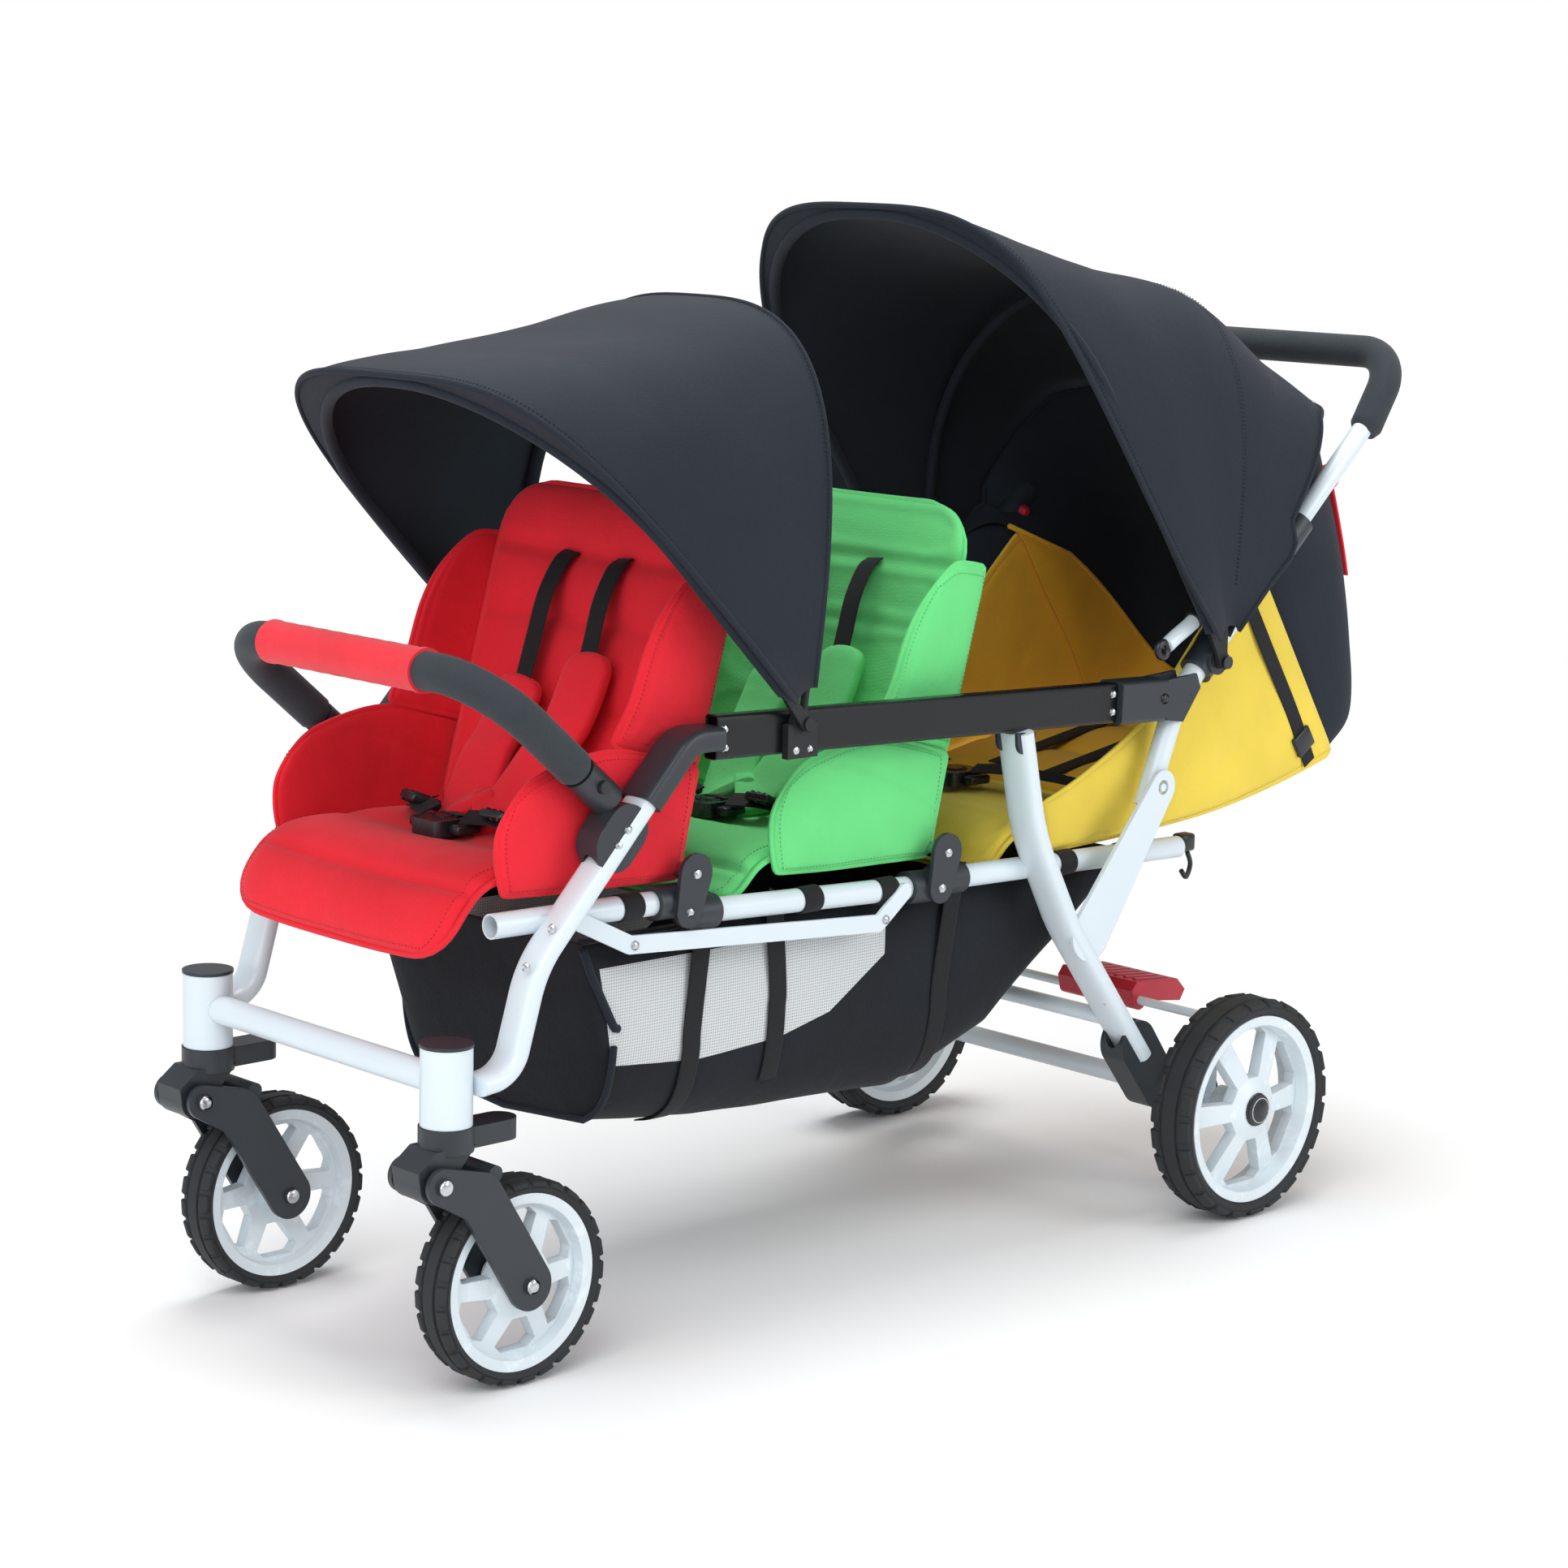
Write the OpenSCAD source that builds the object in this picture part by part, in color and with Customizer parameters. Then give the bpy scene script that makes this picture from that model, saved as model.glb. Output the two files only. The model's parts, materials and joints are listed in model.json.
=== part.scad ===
// Triple tandem stroller with three padded seats in line.
// Millimetres. +Z is up, the front of the stroller faces -Y, the floor is z = 0.

/* [Layout] */
// Distance of the front axle ahead of the origin
front_reach = 583; // [560:1:610]
// Distance between the front and rear axles
wheelbase = 965; // [930:1:1000]
// Half distance between the planes of the two side frames
frame_half = 205; // [200:1:212]

/* [Front wheels] */
// Radius of a front tyre
front_wheel_r = 100; // [92:1:102]
// Width of a front tyre
front_tyre_w = 44; // [36:1:46]
// Radius of a front rim
front_rim_r = 86; // [76:1:88]
// Distance of a caster stem inside the plane of its side frame
caster_inset = 16; // [9:1:23]
// Distance of the caster stem ahead of the front axle
caster_trail = 78; // [74:1:84]
// Radius of a caster tube
caster_tube_r = 24.5; // [22:0.5:28]
// Lower end of a caster tube
caster_tube_z = 262; // [260:1:272]
// Length of a caster tube
caster_tube_h = 74; // [66:1:90]

/* [Rear wheels] */
// Radius of a rear tyre
rear_wheel_r = 122.6; // [112:0.2:126]
// Width of a rear tyre
rear_tyre_w = 54; // [44:1:56]
// Radius of a rear rim
rear_rim_r = 104; // [94:1:106]
// Distance of a rear wheel outside the plane of its side frame
rear_overhang = 67; // [63:1:80]
// Number of spokes in every rim
spokes = 6; // [5:1:8]

/* [Tubes] */
// Depth of the oval front leg tube
front_leg_d = 37; // [30:1:42]
// Thickness of the oval front leg tube
front_leg_t = 20; // [16:1:22]
// Depth of the oval rear leg tube
rear_leg_d = 44; // [36:1:48]
// Thickness of the oval rear leg tube
rear_leg_t = 22; // [18:1:24]
// Radius of the lower handle tube
handle_r = 12.5; // [11.5:0.5:13]
// Wall of the lower handle tube
handle_wall = 1.3; // [1:0.1:1.4]
// Radius of the seat tubes
seat_tube_r = 12; // [10:0.5:13]
// Radius of the front cross tube
cross_tube_r = 14; // [11:0.5:16]
// Wall of the other tubes
tube_wall = 1.8; // [1.4:0.1:2.4]

/* [Rails] */
// Height of a side rail
rail_h = 43; // [38:1:46]
// Thickness of a side rail
rail_t = 18; // [14:1:20]
// Height of the rail's centre at its front end
rail_front_z = 594; // [588:1:600]
// Fall of the rail from its front end to its rear end
rail_fall = 17; // [10:1:22]

/* [Handle] */
// Radius of the foam grip
grip_r = 18.5; // [16:0.5:20]
// Length of a height collar
collar_len = 62; // [50:1:70]
// Radius of a height collar
collar_r = 17.5; // [16.5:0.5:20]

/* [Bumper] */
// Radius of the bumper foam
bumper_foam_r = 18.5; // [15:0.5:20]
// Radius of the bumper tube
bumper_tube_r = 9; // [7:0.5:10]
// Reach of the bumper bar from its sockets
bumper_reach = 184; // [170:1:195]

/* [Seats] */
// Distance of a seat pad's side inside the plane of the side frame
seat_inset = 39; // [37:1:45]
// Distance of the seat tubes inside the plane of the side frame
seat_tube_inset = 24; // [22:1:26]
// Thickness of a seat pad
seat_pad_t = 34; // [26:1:40]
// Thickness of a backrest pad
back_pad_t = 36; // [28:1:42]
// Height of an upright backrest
back_h = 352; // [320:1:370]
// Distance from one upright seat to the next
seat_pitch = 347; // [340:1:352]
// Drop from one upright seat to the next
seat_drop = 20; // [14:1:24]

/* [Canopies] */
// Thickness of the canopy cloth solids
cloth_t = 3; // [2:0.5:4]
// Radius of a canopy bow
bow_r = 4; // [3:0.5:5]
// Distance of the front canopy's sides outside the side frames
canopy_overhang = 27; // [25:1:33]
// Distance of the rear hood's sides outside the side frames
hood_overhang = 29; // [27:1:35]

/* [Basket] */
// Height of the basket's rim
basket_rim_z = 402; // [398:0.5:404]

/* [Fits] */
// Radial running clearance of a pin in its bore
run_fit = 0.06; // [0.03:0.01:0.1]
// Gap between pieces that lie against each other
seat_gap = 0.3; // [0.2:0.05:0.5]
// Gap beside a moving plate
side_gap = 1; // [0.8:0.1:1.5]
// Slack of the fold link's open pivot
link_slack = 3.5; // [3:0.1:5]

/* [Hidden] */
$fn = 48;

// Colours
white = [0.9, 0.95, 0.97];
black = [0.17, 0.19, 0.21];
cloth_black = [0.12, 0.15, 0.18];
red = [0.92, 0.18, 0.24];
green = [0.43, 0.86, 0.55];
yellow = [0.9, 0.82, 0.38];
steel = [0.75, 0.76, 0.78];

// A side-plane point, given by its distance behind the front axle and its height
function at(d, z) = [d - front_reach, z];
function ang(p, q) = atan2(q.y - p.y, q.x - p.x);
function along(p, a, s) = p + s * [cos(a), sin(a)];
function mix(a, b, t) = a + (b - a) * t;
function sgn_pow(v, p) = sign(v) * pow(abs(v), p);
// A point on a polyline, t from 0 to 1 by point count
function poly_at(pts, t) =
  let(s = t * (len(pts) - 1), i = min(floor(s), len(pts) - 2)) mix(pts[i], pts[i + 1], s - i);
// A smooth curve through the points
function curve_at(pts, t) =
  let(n = len(pts) - 1, s = t * n, i = min(floor(s), n - 1), f = s - i,
      a = pts[max(i - 1, 0)], b = pts[i], c = pts[i + 1], d = pts[min(i + 2, n)])
  0.5 * (2 * b + (c - a) * f + (2 * a - 5 * b + 4 * c - d) * f * f + (3 * b - a - 3 * c + d) * f * f * f);

// Widths that follow the side frames
front_track = frame_half - caster_inset;
rear_track = frame_half + rear_overhang;
seat_half_w = frame_half - seat_inset;
seat_tube_x = frame_half - seat_tube_inset;
back_frame_half = seat_half_w - 36;
canopy_half_w = frame_half + canopy_overhang;
hood_half_w = frame_half + hood_overhang;

// Pivots of the side frame
stem_y = -caster_trail - front_reach;
front_axle = at(0, front_wheel_r);
rear_axle_at = at(wheelbase, rear_wheel_r);
fork_pivot = at(-104, 214);
leg_foot = at(-58, 299);
leg_knee = at(-20, 303);
leg_top = at(138, rail_front_z - 54);
leg_bend = leg_top + [-130, -140];
rail_front = at(226, rail_front_z);
rail_rear_z = rail_front_z - rail_fall;
rail_rear = at(800, rail_rear_z);
rail_a = ang(rail_front, rail_rear);
hanger_pivot = at(653, rail_front_z - 38);
rear_bend_2 = at(738, 342);
rear_bend_1 = mix(hanger_pivot, rear_bend_2, 0.5) + [-17.5, 1];
rear_foot = at(862, 184);
link_pivot = at(763, 333);
handle_bend = at(908, rail_rear_z - 5);
handle_foot = handle_bend + [-46, -114];
slip_pivot = along(handle_foot, ang(handle_foot, handle_bend), 24);
grip_start = handle_bend + [316, 292];
fold_pivot = handle_bend + [2, 2];
handle_a = ang(handle_bend, grip_start);
collar_foot = along(handle_bend, handle_a, 205);
grip_a = 57;
grip_reach = 84;
hood_pivot = along(handle_bend, handle_a, 58);
canopy_pivot = at(331, rail_front_z + 6);
brake_bar_at = at(970, 211);

// Bores and pins
axle_r = 5;
rear_axle_r = 6;
pin_r = 4.5;
stem_r = 12;
bow_pin_r = 3;

// Mirrored copies for the left (+X) and right sides
module both() {
  children();
  mirror([1, 0, 0]) children();
}
module side(s) {
  if (s > 0) children();
  else mirror([1, 0, 0]) children();
}
// A cylinder along X between two side distances, at a side-plane point
module peg(p, r, x0, x1) {
  translate([x0, p.x, p.y]) rotate([0, 90, 0]) cylinder(r = r, h = x1 - x0);
}
// A side-plane outline given in (y, z), thick from x0 to x1
module slab(x0, x1) {
  translate([x0, 0, 0]) rotate([90, 0, 90]) linear_extrude(x1 - x0) children();
}
// Outline of a bar with round ends of two radii
module taper_bar(p, rp, q, rq) {
  d = norm(q - p);
  a = ang(p, q);
  k = acos((rp - rq) / d);
  polygon([along(p, a + k, rp), along(p, a - k, rp), along(q, a - k, rq), along(q, a + k, rq)]);
  translate(p) circle(rp);
  translate(q) circle(rq);
}
module oval(d, t) {
  square([t, d - t], center = true);
  for (s = [-1, 1])
    translate([0, s * (d - t) / 2]) circle(t / 2);
}
module ring(r, wall) {
  difference() {
    circle(r);
    circle(r - wall);
  }
}
module round_rect(h, t, r) {
  square([t, h - 2 * r], center = true);
  square([t - 2 * r, h], center = true);
  for (sx = [-1, 1], sy = [-1, 1])
    translate([sx * (t / 2 - r), sy * (h / 2 - r)]) circle(r);
}
// Points of a bent run: straight stretches joined by arcs of the given radii
function corner_cut(pts, rad, i) =
  let(d = ang(pts[i], pts[i + 1]) - ang(pts[i - 1], pts[i])) rad[i] * tan(abs(d) / 2);
function run_points(pts, rad, steps = 4) = [
  pts[0],
  for (i = [1 : 1 : len(pts) - 2])
    let(a = ang(pts[i - 1], pts[i]), d = ang(pts[i], pts[i + 1]) - a, k = corner_cut(pts, rad, i),
        p = along(pts[i], a, -k), c = along(p, a + sign(d) * 90, rad[i]))
    for (j = [0 : steps]) along(c, a - sign(d) * 90 + d * j / steps, rad[i]),
  pts[len(pts) - 1]];
// Outline points of an oval and of a round bar
function oval_points(d, t) = [
  for (s = [1, -1], j = [0 : 6]) let(b = (s > 0 ? 0 : 180) + j * 30)
    [t / 2 * cos(b), s * (d - t) / 2 + t / 2 * sin(b)]];
function round_points(r, n = 14) = [for (j = [0 : n - 1]) r * [cos(360 * j / n), sin(360 * j / n)]];
function rect_points(h, t, r) = [
  for (q = [0 : 3], j = [0 : 2]) let(b = 90 * q + 45 * j)
    [(q == 0 || q == 3 ? 1 : -1) * (t / 2 - r) + r * cos(b), (q < 2 ? 1 : -1) * (h / 2 - r) + r * sin(b)]];
// Sweeps an outline along 3-D points, with the outline's x axis square to the run and to the guide
module sweep(path, outline, guide) {
  n = len(path);
  m = len(outline);
  unit = function (v) v / norm(v);
  pts = [for (i = [0 : n - 1])
    let(t = unit(path[min(i + 1, n - 1)] - path[max(i - 1, 0)]), e = unit(cross(guide, t)), f = cross(t, e))
    for (q = outline) path[i] + q.x * f + q.y * e];
  polyhedron(pts, concat([[for (j = [m - 1 : -1 : 0]) j]], [[for (j = [0 : m - 1]) (n - 1) * m + j]],
    [for (i = [0 : n - 2], j = [0 : m - 1]) let(k = (j + 1) % m) each
      [[i * m + j, i * m + k, (i + 1) * m + j], [i * m + k, (i + 1) * m + k, (i + 1) * m + j]]]));
}
// A bent bar in the side plane: the outline's x axis is the thickness, y the depth
module bent_bar(pts, rad, outline) {
  sweep([for (p = run_points(pts, rad)) [0, p.x, p.y]], outline, [1, 0, 0]);
}
// Sweeps the child profile (x = thickness, y = depth) along a straight stretch in the side plane
module stretch(p, q) {
  translate([0, p.x, p.y]) rotate([ang(p, q) - 90, 0, 0]) linear_extrude(norm(q - p)) children();
}
// A U-shaped run in the plane of X and a side-plane direction: legs at x = +-half, bar at reach
module u_run(p, a, half, reach, corner, start = 0) {
  translate([0, p.x, p.y]) rotate([a - 90, 0, 0]) {
    for (s = [-1, 1]) {
      translate([s * half, 0, start]) linear_extrude(reach - corner - start) children();
      translate([s * (half - corner), 0, reach - corner]) rotate([90, 0, 0]) rotate([0, 0, s > 0 ? 0 : 90])
        rotate_extrude(angle = 90) translate([corner, 0]) children();
    }
    translate([corner - half, 0, reach]) rotate([0, 90, 0]) linear_extrude(2 * (half - corner)) children();
  }
}

// A closed solid between two grids of points of the same size
module between(a, b) {
  n = len(a);
  m = len(a[0]);
  pts = concat([for (r = a) each r], [for (r = b) each r]);
  k = n * m;
  rim = concat([for (j = [0 : m - 1]) j], [for (i = [1 : n - 1]) i * m + m - 1],
    [for (j = [m - 2 : -1 : 0]) (n - 1) * m + j], [for (i = [n - 2 : -1 : 1]) i * m]);
  q = len(rim);
  polyhedron(pts, concat(
    [for (i = [0 : n - 2], j = [0 : m - 2]) each
      [[i * m + j, i * m + j + 1, (i + 1) * m + j], [i * m + j + 1, (i + 1) * m + j + 1, (i + 1) * m + j]]],
    [for (i = [0 : n - 2], j = [0 : m - 2]) each
      [[k + i * m + j, k + (i + 1) * m + j, k + i * m + j + 1],
       [k + i * m + j + 1, k + (i + 1) * m + j, k + (i + 1) * m + j + 1]]],
    [for (i = [0 : q - 1]) each
      [[rim[i], k + rim[i], rim[(i + 1) % q]], [rim[(i + 1) % q], k + rim[i], k + rim[(i + 1) % q]]]]));
}
// A padded strip on a side-plane curve: crowned, drawn in at the sides, with sewn channels across it
module pad(path, half_w, thick, edge, draw, channels, depth, nu = 8, nv = 12) {
  crown = function (u, v) pow(max(1 - pow(abs(2 * u - 1), 5), 0), 0.6)
    * pow(max(1 - pow(abs(2 * v - 1), 7), 0), 0.6);
  sewn = function (v) 1 - depth * max([for (c = channels) exp(-pow((v - c) / 0.035, 2))]);
  place = function (i, j, off) let(u = j / nu, v = i / nv, p = curve_at(path, v),
      a = ang(curve_at(path, max(v - 0.01, 0)), curve_at(path, min(v + 0.01, 1))) + 90,
      w = half_w * (1 - draw * sin(180 * v)), o = off ? edge + (thick - edge) * crown(u, v) * sewn(v) : 0)
    [(1 - 2 * u) * w, p.x + o * cos(a), p.y + o * sin(a)];
  between([for (i = [0 : nv]) [for (j = [0 : nu]) place(i, j, true)]],
    [for (i = [0 : nv]) [for (j = [0 : nu]) place(i, j, false)]]);
}
// A padded side panel between a lower and an upper edge curve, bulged outwards
module panel(low, high, x_in, x_out, bulge, nu = 4, nv = 7) {
  place = function (i, j, x, b) let(v = i / nv, u = j / nu, p = mix(curve_at(low, v), curve_at(high, v), u))
    [x + b * pow(sin(180 * v) * sin(180 * u), 0.5), p.x, p.y];
  between([for (i = [0 : nv]) [for (j = [0 : nu]) place(i, j, x_out, bulge)]],
    [for (i = [0 : nv]) [for (j = [0 : nu]) place(i, j, x_in, 0)]]);
}
arch_k = 0.45;
// An arch in the plane of X and a side-plane direction: t runs from one foot over the top to the other
function arch(half, foot, top, t) =
  let(c = cos(180 * t), s = sin(180 * t))
    [half * sgn_pow(c, arch_k), foot + (top - foot) * pow(max(s, 0), arch_k)];
// A fan of cloth: arches about a side-plane pivot, each given as [angle, top distance]
module fan(p, half, foot, arches, steps, nt = 20) {
  n = steps;
  place = function (i, j, in)
    let(g = curve_at(arches, i / n), q = arch(half + g.z - in, foot, g.y - in, j / nt))
    [q.x, p.x + q.y * cos(g.x), p.y + q.y * sin(g.x)];
  between([for (i = [0 : n]) [for (j = [0 : nt]) place(i, j, 0)]],
    [for (i = [0 : n]) [for (j = [0 : nt]) place(i, j, cloth_t)]]);
}

// Front frame
leg_run = [leg_foot, leg_knee, leg_bend, leg_top];
leg_radii = [0, 36, 110, 0];
module front_legs() {
  color(white) both() difference() {
    translate([frame_half, 0, 0]) bent_bar(leg_run, leg_radii, oval_points(front_leg_d, front_leg_t));
    translate([front_track, stem_y, caster_tube_z]) cylinder(r = caster_tube_r + seat_gap, h = caster_tube_h);
  }
}
module caster_tubes() {
  color(white) both() translate([front_track, stem_y, caster_tube_z]) difference() {
    cylinder(r = caster_tube_r, h = caster_tube_h);
    translate([0, 0, -1]) cylinder(r = stem_r + run_fit, h = caster_tube_h + 2);
  }
}
cap_h = 3;
module caster_caps() {
  color(black) both() translate([front_track, stem_y, caster_tube_z + caster_tube_h]) {
    cylinder(r = caster_tube_r + 0.8, h = cap_h);
    translate([0, 0, -8]) cylinder(r = stem_r - seat_gap, h = 8);
  }
}
front_cross_z = caster_tube_z + 40;
module front_cross_tube() {
  color(white) difference() {
    translate([-front_track, stem_y, front_cross_z]) rotate([0, 90, 0]) linear_extrude(2 * front_track)
      ring(cross_tube_r, tube_wall);
    both() translate([front_track, stem_y, front_cross_z - 40])
      cylinder(r = caster_tube_r + seat_gap, h = 80);
  }
}

// Casters
head_z = 238;
lug_half = 20;
arm_t = 6;
arm_x = front_tyre_w / 2 + 3;
module caster_head(s) {
  color(black) side(s) translate([front_track, 0, 0]) difference() {
    union() {
      translate([0, stem_y, head_z]) cylinder(r = caster_tube_r + 1.5, h = caster_tube_z - head_z - seat_gap);
      translate([0, stem_y, caster_tube_z - 1]) cylinder(r = stem_r, h = caster_tube_h - 10);
      slab(-lug_half, lug_half) {
        translate(fork_pivot) circle(19);
        polygon([fork_pivot + [-19, 0], fork_pivot + [19, 0], [stem_y + 20, head_z + 6],
          [stem_y - 26, head_z + 6], fork_pivot + [-21, 14]]);
      }
      // Lever of the swivel lock, behind the head
      translate([0, stem_y + 40, head_z + 2]) linear_extrude(caster_tube_z - head_z - 4) {
        square([34, 42], center = true);
        translate([0, 21]) circle(17);
      }
    }
    peg(fork_pivot, axle_r + run_fit, -40, 40);
  }
}
fork_elbow = at(-60, 196);
fork_bridge = at(-40, 214);
module caster_fork(s) {
  color(black) side(s) translate([front_track, 0, 0]) {
    difference() {
      for (m = [0, 1]) mirror([m, 0, 0]) slab(arm_x, arm_x + arm_t) {
        taper_bar(front_axle, 24, fork_elbow, 24);
        taper_bar(fork_elbow, 24, fork_pivot, 17);
      }
      peg(front_axle, axle_r, -60, 60);
      peg(fork_pivot, axle_r, -60, 60);
    }
    peg(fork_bridge, 8, -arm_x - 1, arm_x + 1);
    // Bolts with domed heads
    for (p = [front_axle, fork_pivot]) {
      peg(p, axle_r, -arm_x - arm_t - 3, arm_x + arm_t + 3);
      for (m = [0, 1]) mirror([m, 0, 0]) peg(p, 8, arm_x + arm_t, arm_x + arm_t + 3);
    }
  }
}

// Wheels
module tyre_profile(r, w, rim) {
  k = 9;
  polygon(concat([[rim, -w / 2 + 4], [r - k - 4, -w / 2]],
    [for (a = [-75 : 15 : 0]) [r - k + k * cos(a), -w / 2 + k + k * sin(a)]],
    [for (a = [0 : 15 : 75]) [r - k + k * cos(a), w / 2 - k + k * sin(a)]],
    [[r - k - 4, w / 2], [rim, w / 2 - 4]]));
}
module tyre(s, track, p, r, w, rim) {
  color(black) side(s) translate([track, p.x, p.y]) rotate([0, 90, 0])
    rotate_extrude($fn = 96) tyre_profile(r, w, rim + 0.1);
}
hub_r = 21;
rim_ring = 11;
module rim(s, track, p, r, w, bore, face) {
  color(white) side(s) translate([track, p.x, p.y]) rotate([0, 90, 0]) difference() {
    union() {
      rotate_extrude($fn = 96) polygon([[r - rim_ring, -w / 2 + 6], [r, -w / 2 + 4], [r, w / 2 - 4],
        [r - rim_ring, w / 2 - 6], [r - rim_ring - 4, 0]]);
      // Dished disc that the windows are cut from
      rotate_extrude() polygon([[bore + 1, face - 20], [hub_r, face - 18], [r - rim_ring, -8],
        [r - rim_ring, 5], [hub_r + 14, face - 6], [hub_r, face], [bore + 1, face]]);
      translate([0, 0, -w / 2 - 1]) cylinder(r = hub_r - 4, h = w / 2 + face);
    }
    for (i = [0 : spokes - 1]) rotate(i * 360 / spokes) linear_extrude(w + 20, center = true) {
      inner = hub_r + 14;
      outer = r - rim_ring - 7;
      half_in = inner * tan(180 / spokes) * 0.42;
      half_out = outer * tan(180 / spokes) * 0.62;
      polygon([[inner, -half_in], [outer - 8, -half_out], [outer, -half_out + 8],
        [outer, half_out - 8], [outer - 8, half_out], [inner, half_in]]);
    }
    translate([0, 0, -w]) cylinder(r = bore, h = 2 * w);
  }
}

module front_tyre(s) tyre(s, front_track, front_axle, front_wheel_r, front_tyre_w, front_rim_r);
module rear_tyre(s) tyre(s, rear_track, rear_axle_at, rear_wheel_r, rear_tyre_w, rear_rim_r);
module front_rim(s) rim(s, front_track, front_axle, front_rim_r, front_tyre_w, axle_r + run_fit, 20);
module rear_rim(s) rim(s, rear_track, rear_axle_at, rear_rim_r, rear_tyre_w, rear_axle_r + run_fit, 24);

// Side rails
module side_rails() {
  color(black) both() translate([frame_half, 0, 0]) stretch(rail_front, rail_rear)
    difference() {
      round_rect(rail_h, rail_t, 4);
      round_rect(rail_h - 2 * tube_wall, rail_t - 2 * tube_wall, 2.5);
    }
}
elbow_t = 24;
leg_a = ang(leg_bend, leg_top);
// Where the line of the leg meets the line of the rail
elbow_mid = let(c = rail_front - leg_top)
  along(leg_top, leg_a, (c.x * sin(rail_a) - c.y * cos(rail_a)) / sin(rail_a - leg_a));
module rail_elbows() {
  color(black) both() translate([frame_half, 0, 0])
    bent_bar([along(leg_top, leg_a, seat_gap), elbow_mid, along(rail_front, rail_a, -seat_gap)], [0, 34, 0],
      rect_points(rail_h + 1, elbow_t, 6));
}
cheek_in = handle_r + seat_gap + 0.5;
cheek_t = 4;
cheek_out = cheek_in + cheek_t;
core_end = fold_pivot.x - 36;
module rail_ends() {
  color(black) both() translate([frame_half, 0, 0]) difference() {
    union() {
      intersection() {
        stretch(along(rail_rear, rail_a, seat_gap), along(rail_rear, rail_a, 140))
          round_rect(rail_h + 3, 2 * cheek_out, 6);
        slab(-40, 40) polygon([rail_rear + [-10, -80], [core_end, rail_rear.y - 80],
          [core_end, rail_rear.y + 80], rail_rear + [-10, 80]]);
      }
      for (m = [0, 1]) mirror([m, 0, 0]) slab(cheek_in, cheek_out) {
        polygon([[core_end - 1, rail_rear.y - 24], fold_pivot + [-10, -25], fold_pivot + [17, 10],
          fold_pivot + [10, 26], [core_end - 1, rail_rear.y + 20]]);
      }
    }
    peg(fold_pivot, pin_r + run_fit, -40, 40);
  }
}
hanger_z = rail_front.y + (hanger_pivot.x - rail_front.x) * tan(rail_a) - rail_h / 2 / cos(rail_a);
hanger_in = rear_leg_t / 2 + side_gap;
module leg_hangers() {
  color(black) both() translate([frame_half, 0, 0]) {
    intersection() {
      union() {
        for (m = [0, 1]) mirror([m, 0, 0]) slab(hanger_in, hanger_in + 4) {
          translate(hanger_pivot + [0, -6]) circle(13);
          polygon([hanger_pivot + [-18, 40], hanger_pivot + [-13, -6], hanger_pivot + [13, -6],
            hanger_pivot + [18, 40]]);
        }
        slab(-hanger_in - 1, hanger_in + 1) polygon([hanger_pivot + [-18, 40], hanger_pivot + [-18, 18],
          hanger_pivot + [18, 18], hanger_pivot + [18, 40]]);
      }
      slab(-40, 40) polygon([along([hanger_pivot.x, hanger_z], rail_a, -60),
        along([hanger_pivot.x, hanger_z], rail_a, 60),
        hanger_pivot + [60, -60], hanger_pivot + [-60, -60]]);
    }
    peg(hanger_pivot + [0, -6], pin_r, -hanger_in - 4, hanger_in + 4);
    peg(fold_pivot, pin_r, -cheek_out, cheek_out);
  }
}

// Rear frame
leg_pin = hanger_pivot + [0, -6];
module rear_legs() {
  color(white) both() translate([frame_half, 0, 0]) difference() {
    bent_bar([leg_pin + [0, 10], rear_bend_1, rear_bend_2, rear_foot], [0, 240, 240, 0],
      oval_points(rear_leg_d, rear_leg_t));
    slab(-40, 40) difference() {
      translate(leg_pin - [60, 8]) square([120, 80]);
      translate(leg_pin) circle(9);
      translate(leg_pin - [12, 60]) square([24, 60]);
    }
    peg(leg_pin, pin_r + run_fit, -40, 40);
    peg(link_pivot, pin_r + run_fit, -40, 40);
  }
}
bracket_half = rear_leg_t / 2 + 5;
module rear_brackets() {
  color(black) both() translate([frame_half, 0, 0]) difference() {
    slab(-bracket_half, bracket_half) {
      taper_bar(along(rear_foot, ang(rear_bend_2, rear_foot), -18), 27, along(rear_foot, -53, 46), 26);
      taper_bar(along(rear_foot, -53, 46), 26, rear_axle_at, 25);
    }
    stretch(along(rear_foot, ang(rear_bend_2, rear_foot), -90), rear_foot)
      oval(rear_leg_d + 2 * seat_gap, rear_leg_t + 2 * seat_gap);
    peg(rear_axle_at, rear_axle_r + seat_gap, -40, 40);
  }
}
axle_tube_r = 11;
axle_half = rear_track + rear_tyre_w / 2 - 2;
module rear_axle() {
  inner = frame_half - bracket_half;
  color(white) {
    peg(rear_axle_at, axle_tube_r, -inner, inner);
    peg(rear_axle_at, rear_axle_r, -axle_half, axle_half);
  }
  color(black) both() peg(rear_axle_at, 14, axle_half, axle_half + 5);
}
cross_at = along(rear_foot, ang(rear_bend_2, rear_foot) + 180, 55);
module upper_cross_tube() {
  half = frame_half - rear_leg_t / 2;
  color(white) translate([-half, cross_at.x, cross_at.y]) rotate([0, 90, 0]) linear_extrude(2 * half)
    ring(9, tube_wall);
}
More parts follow.
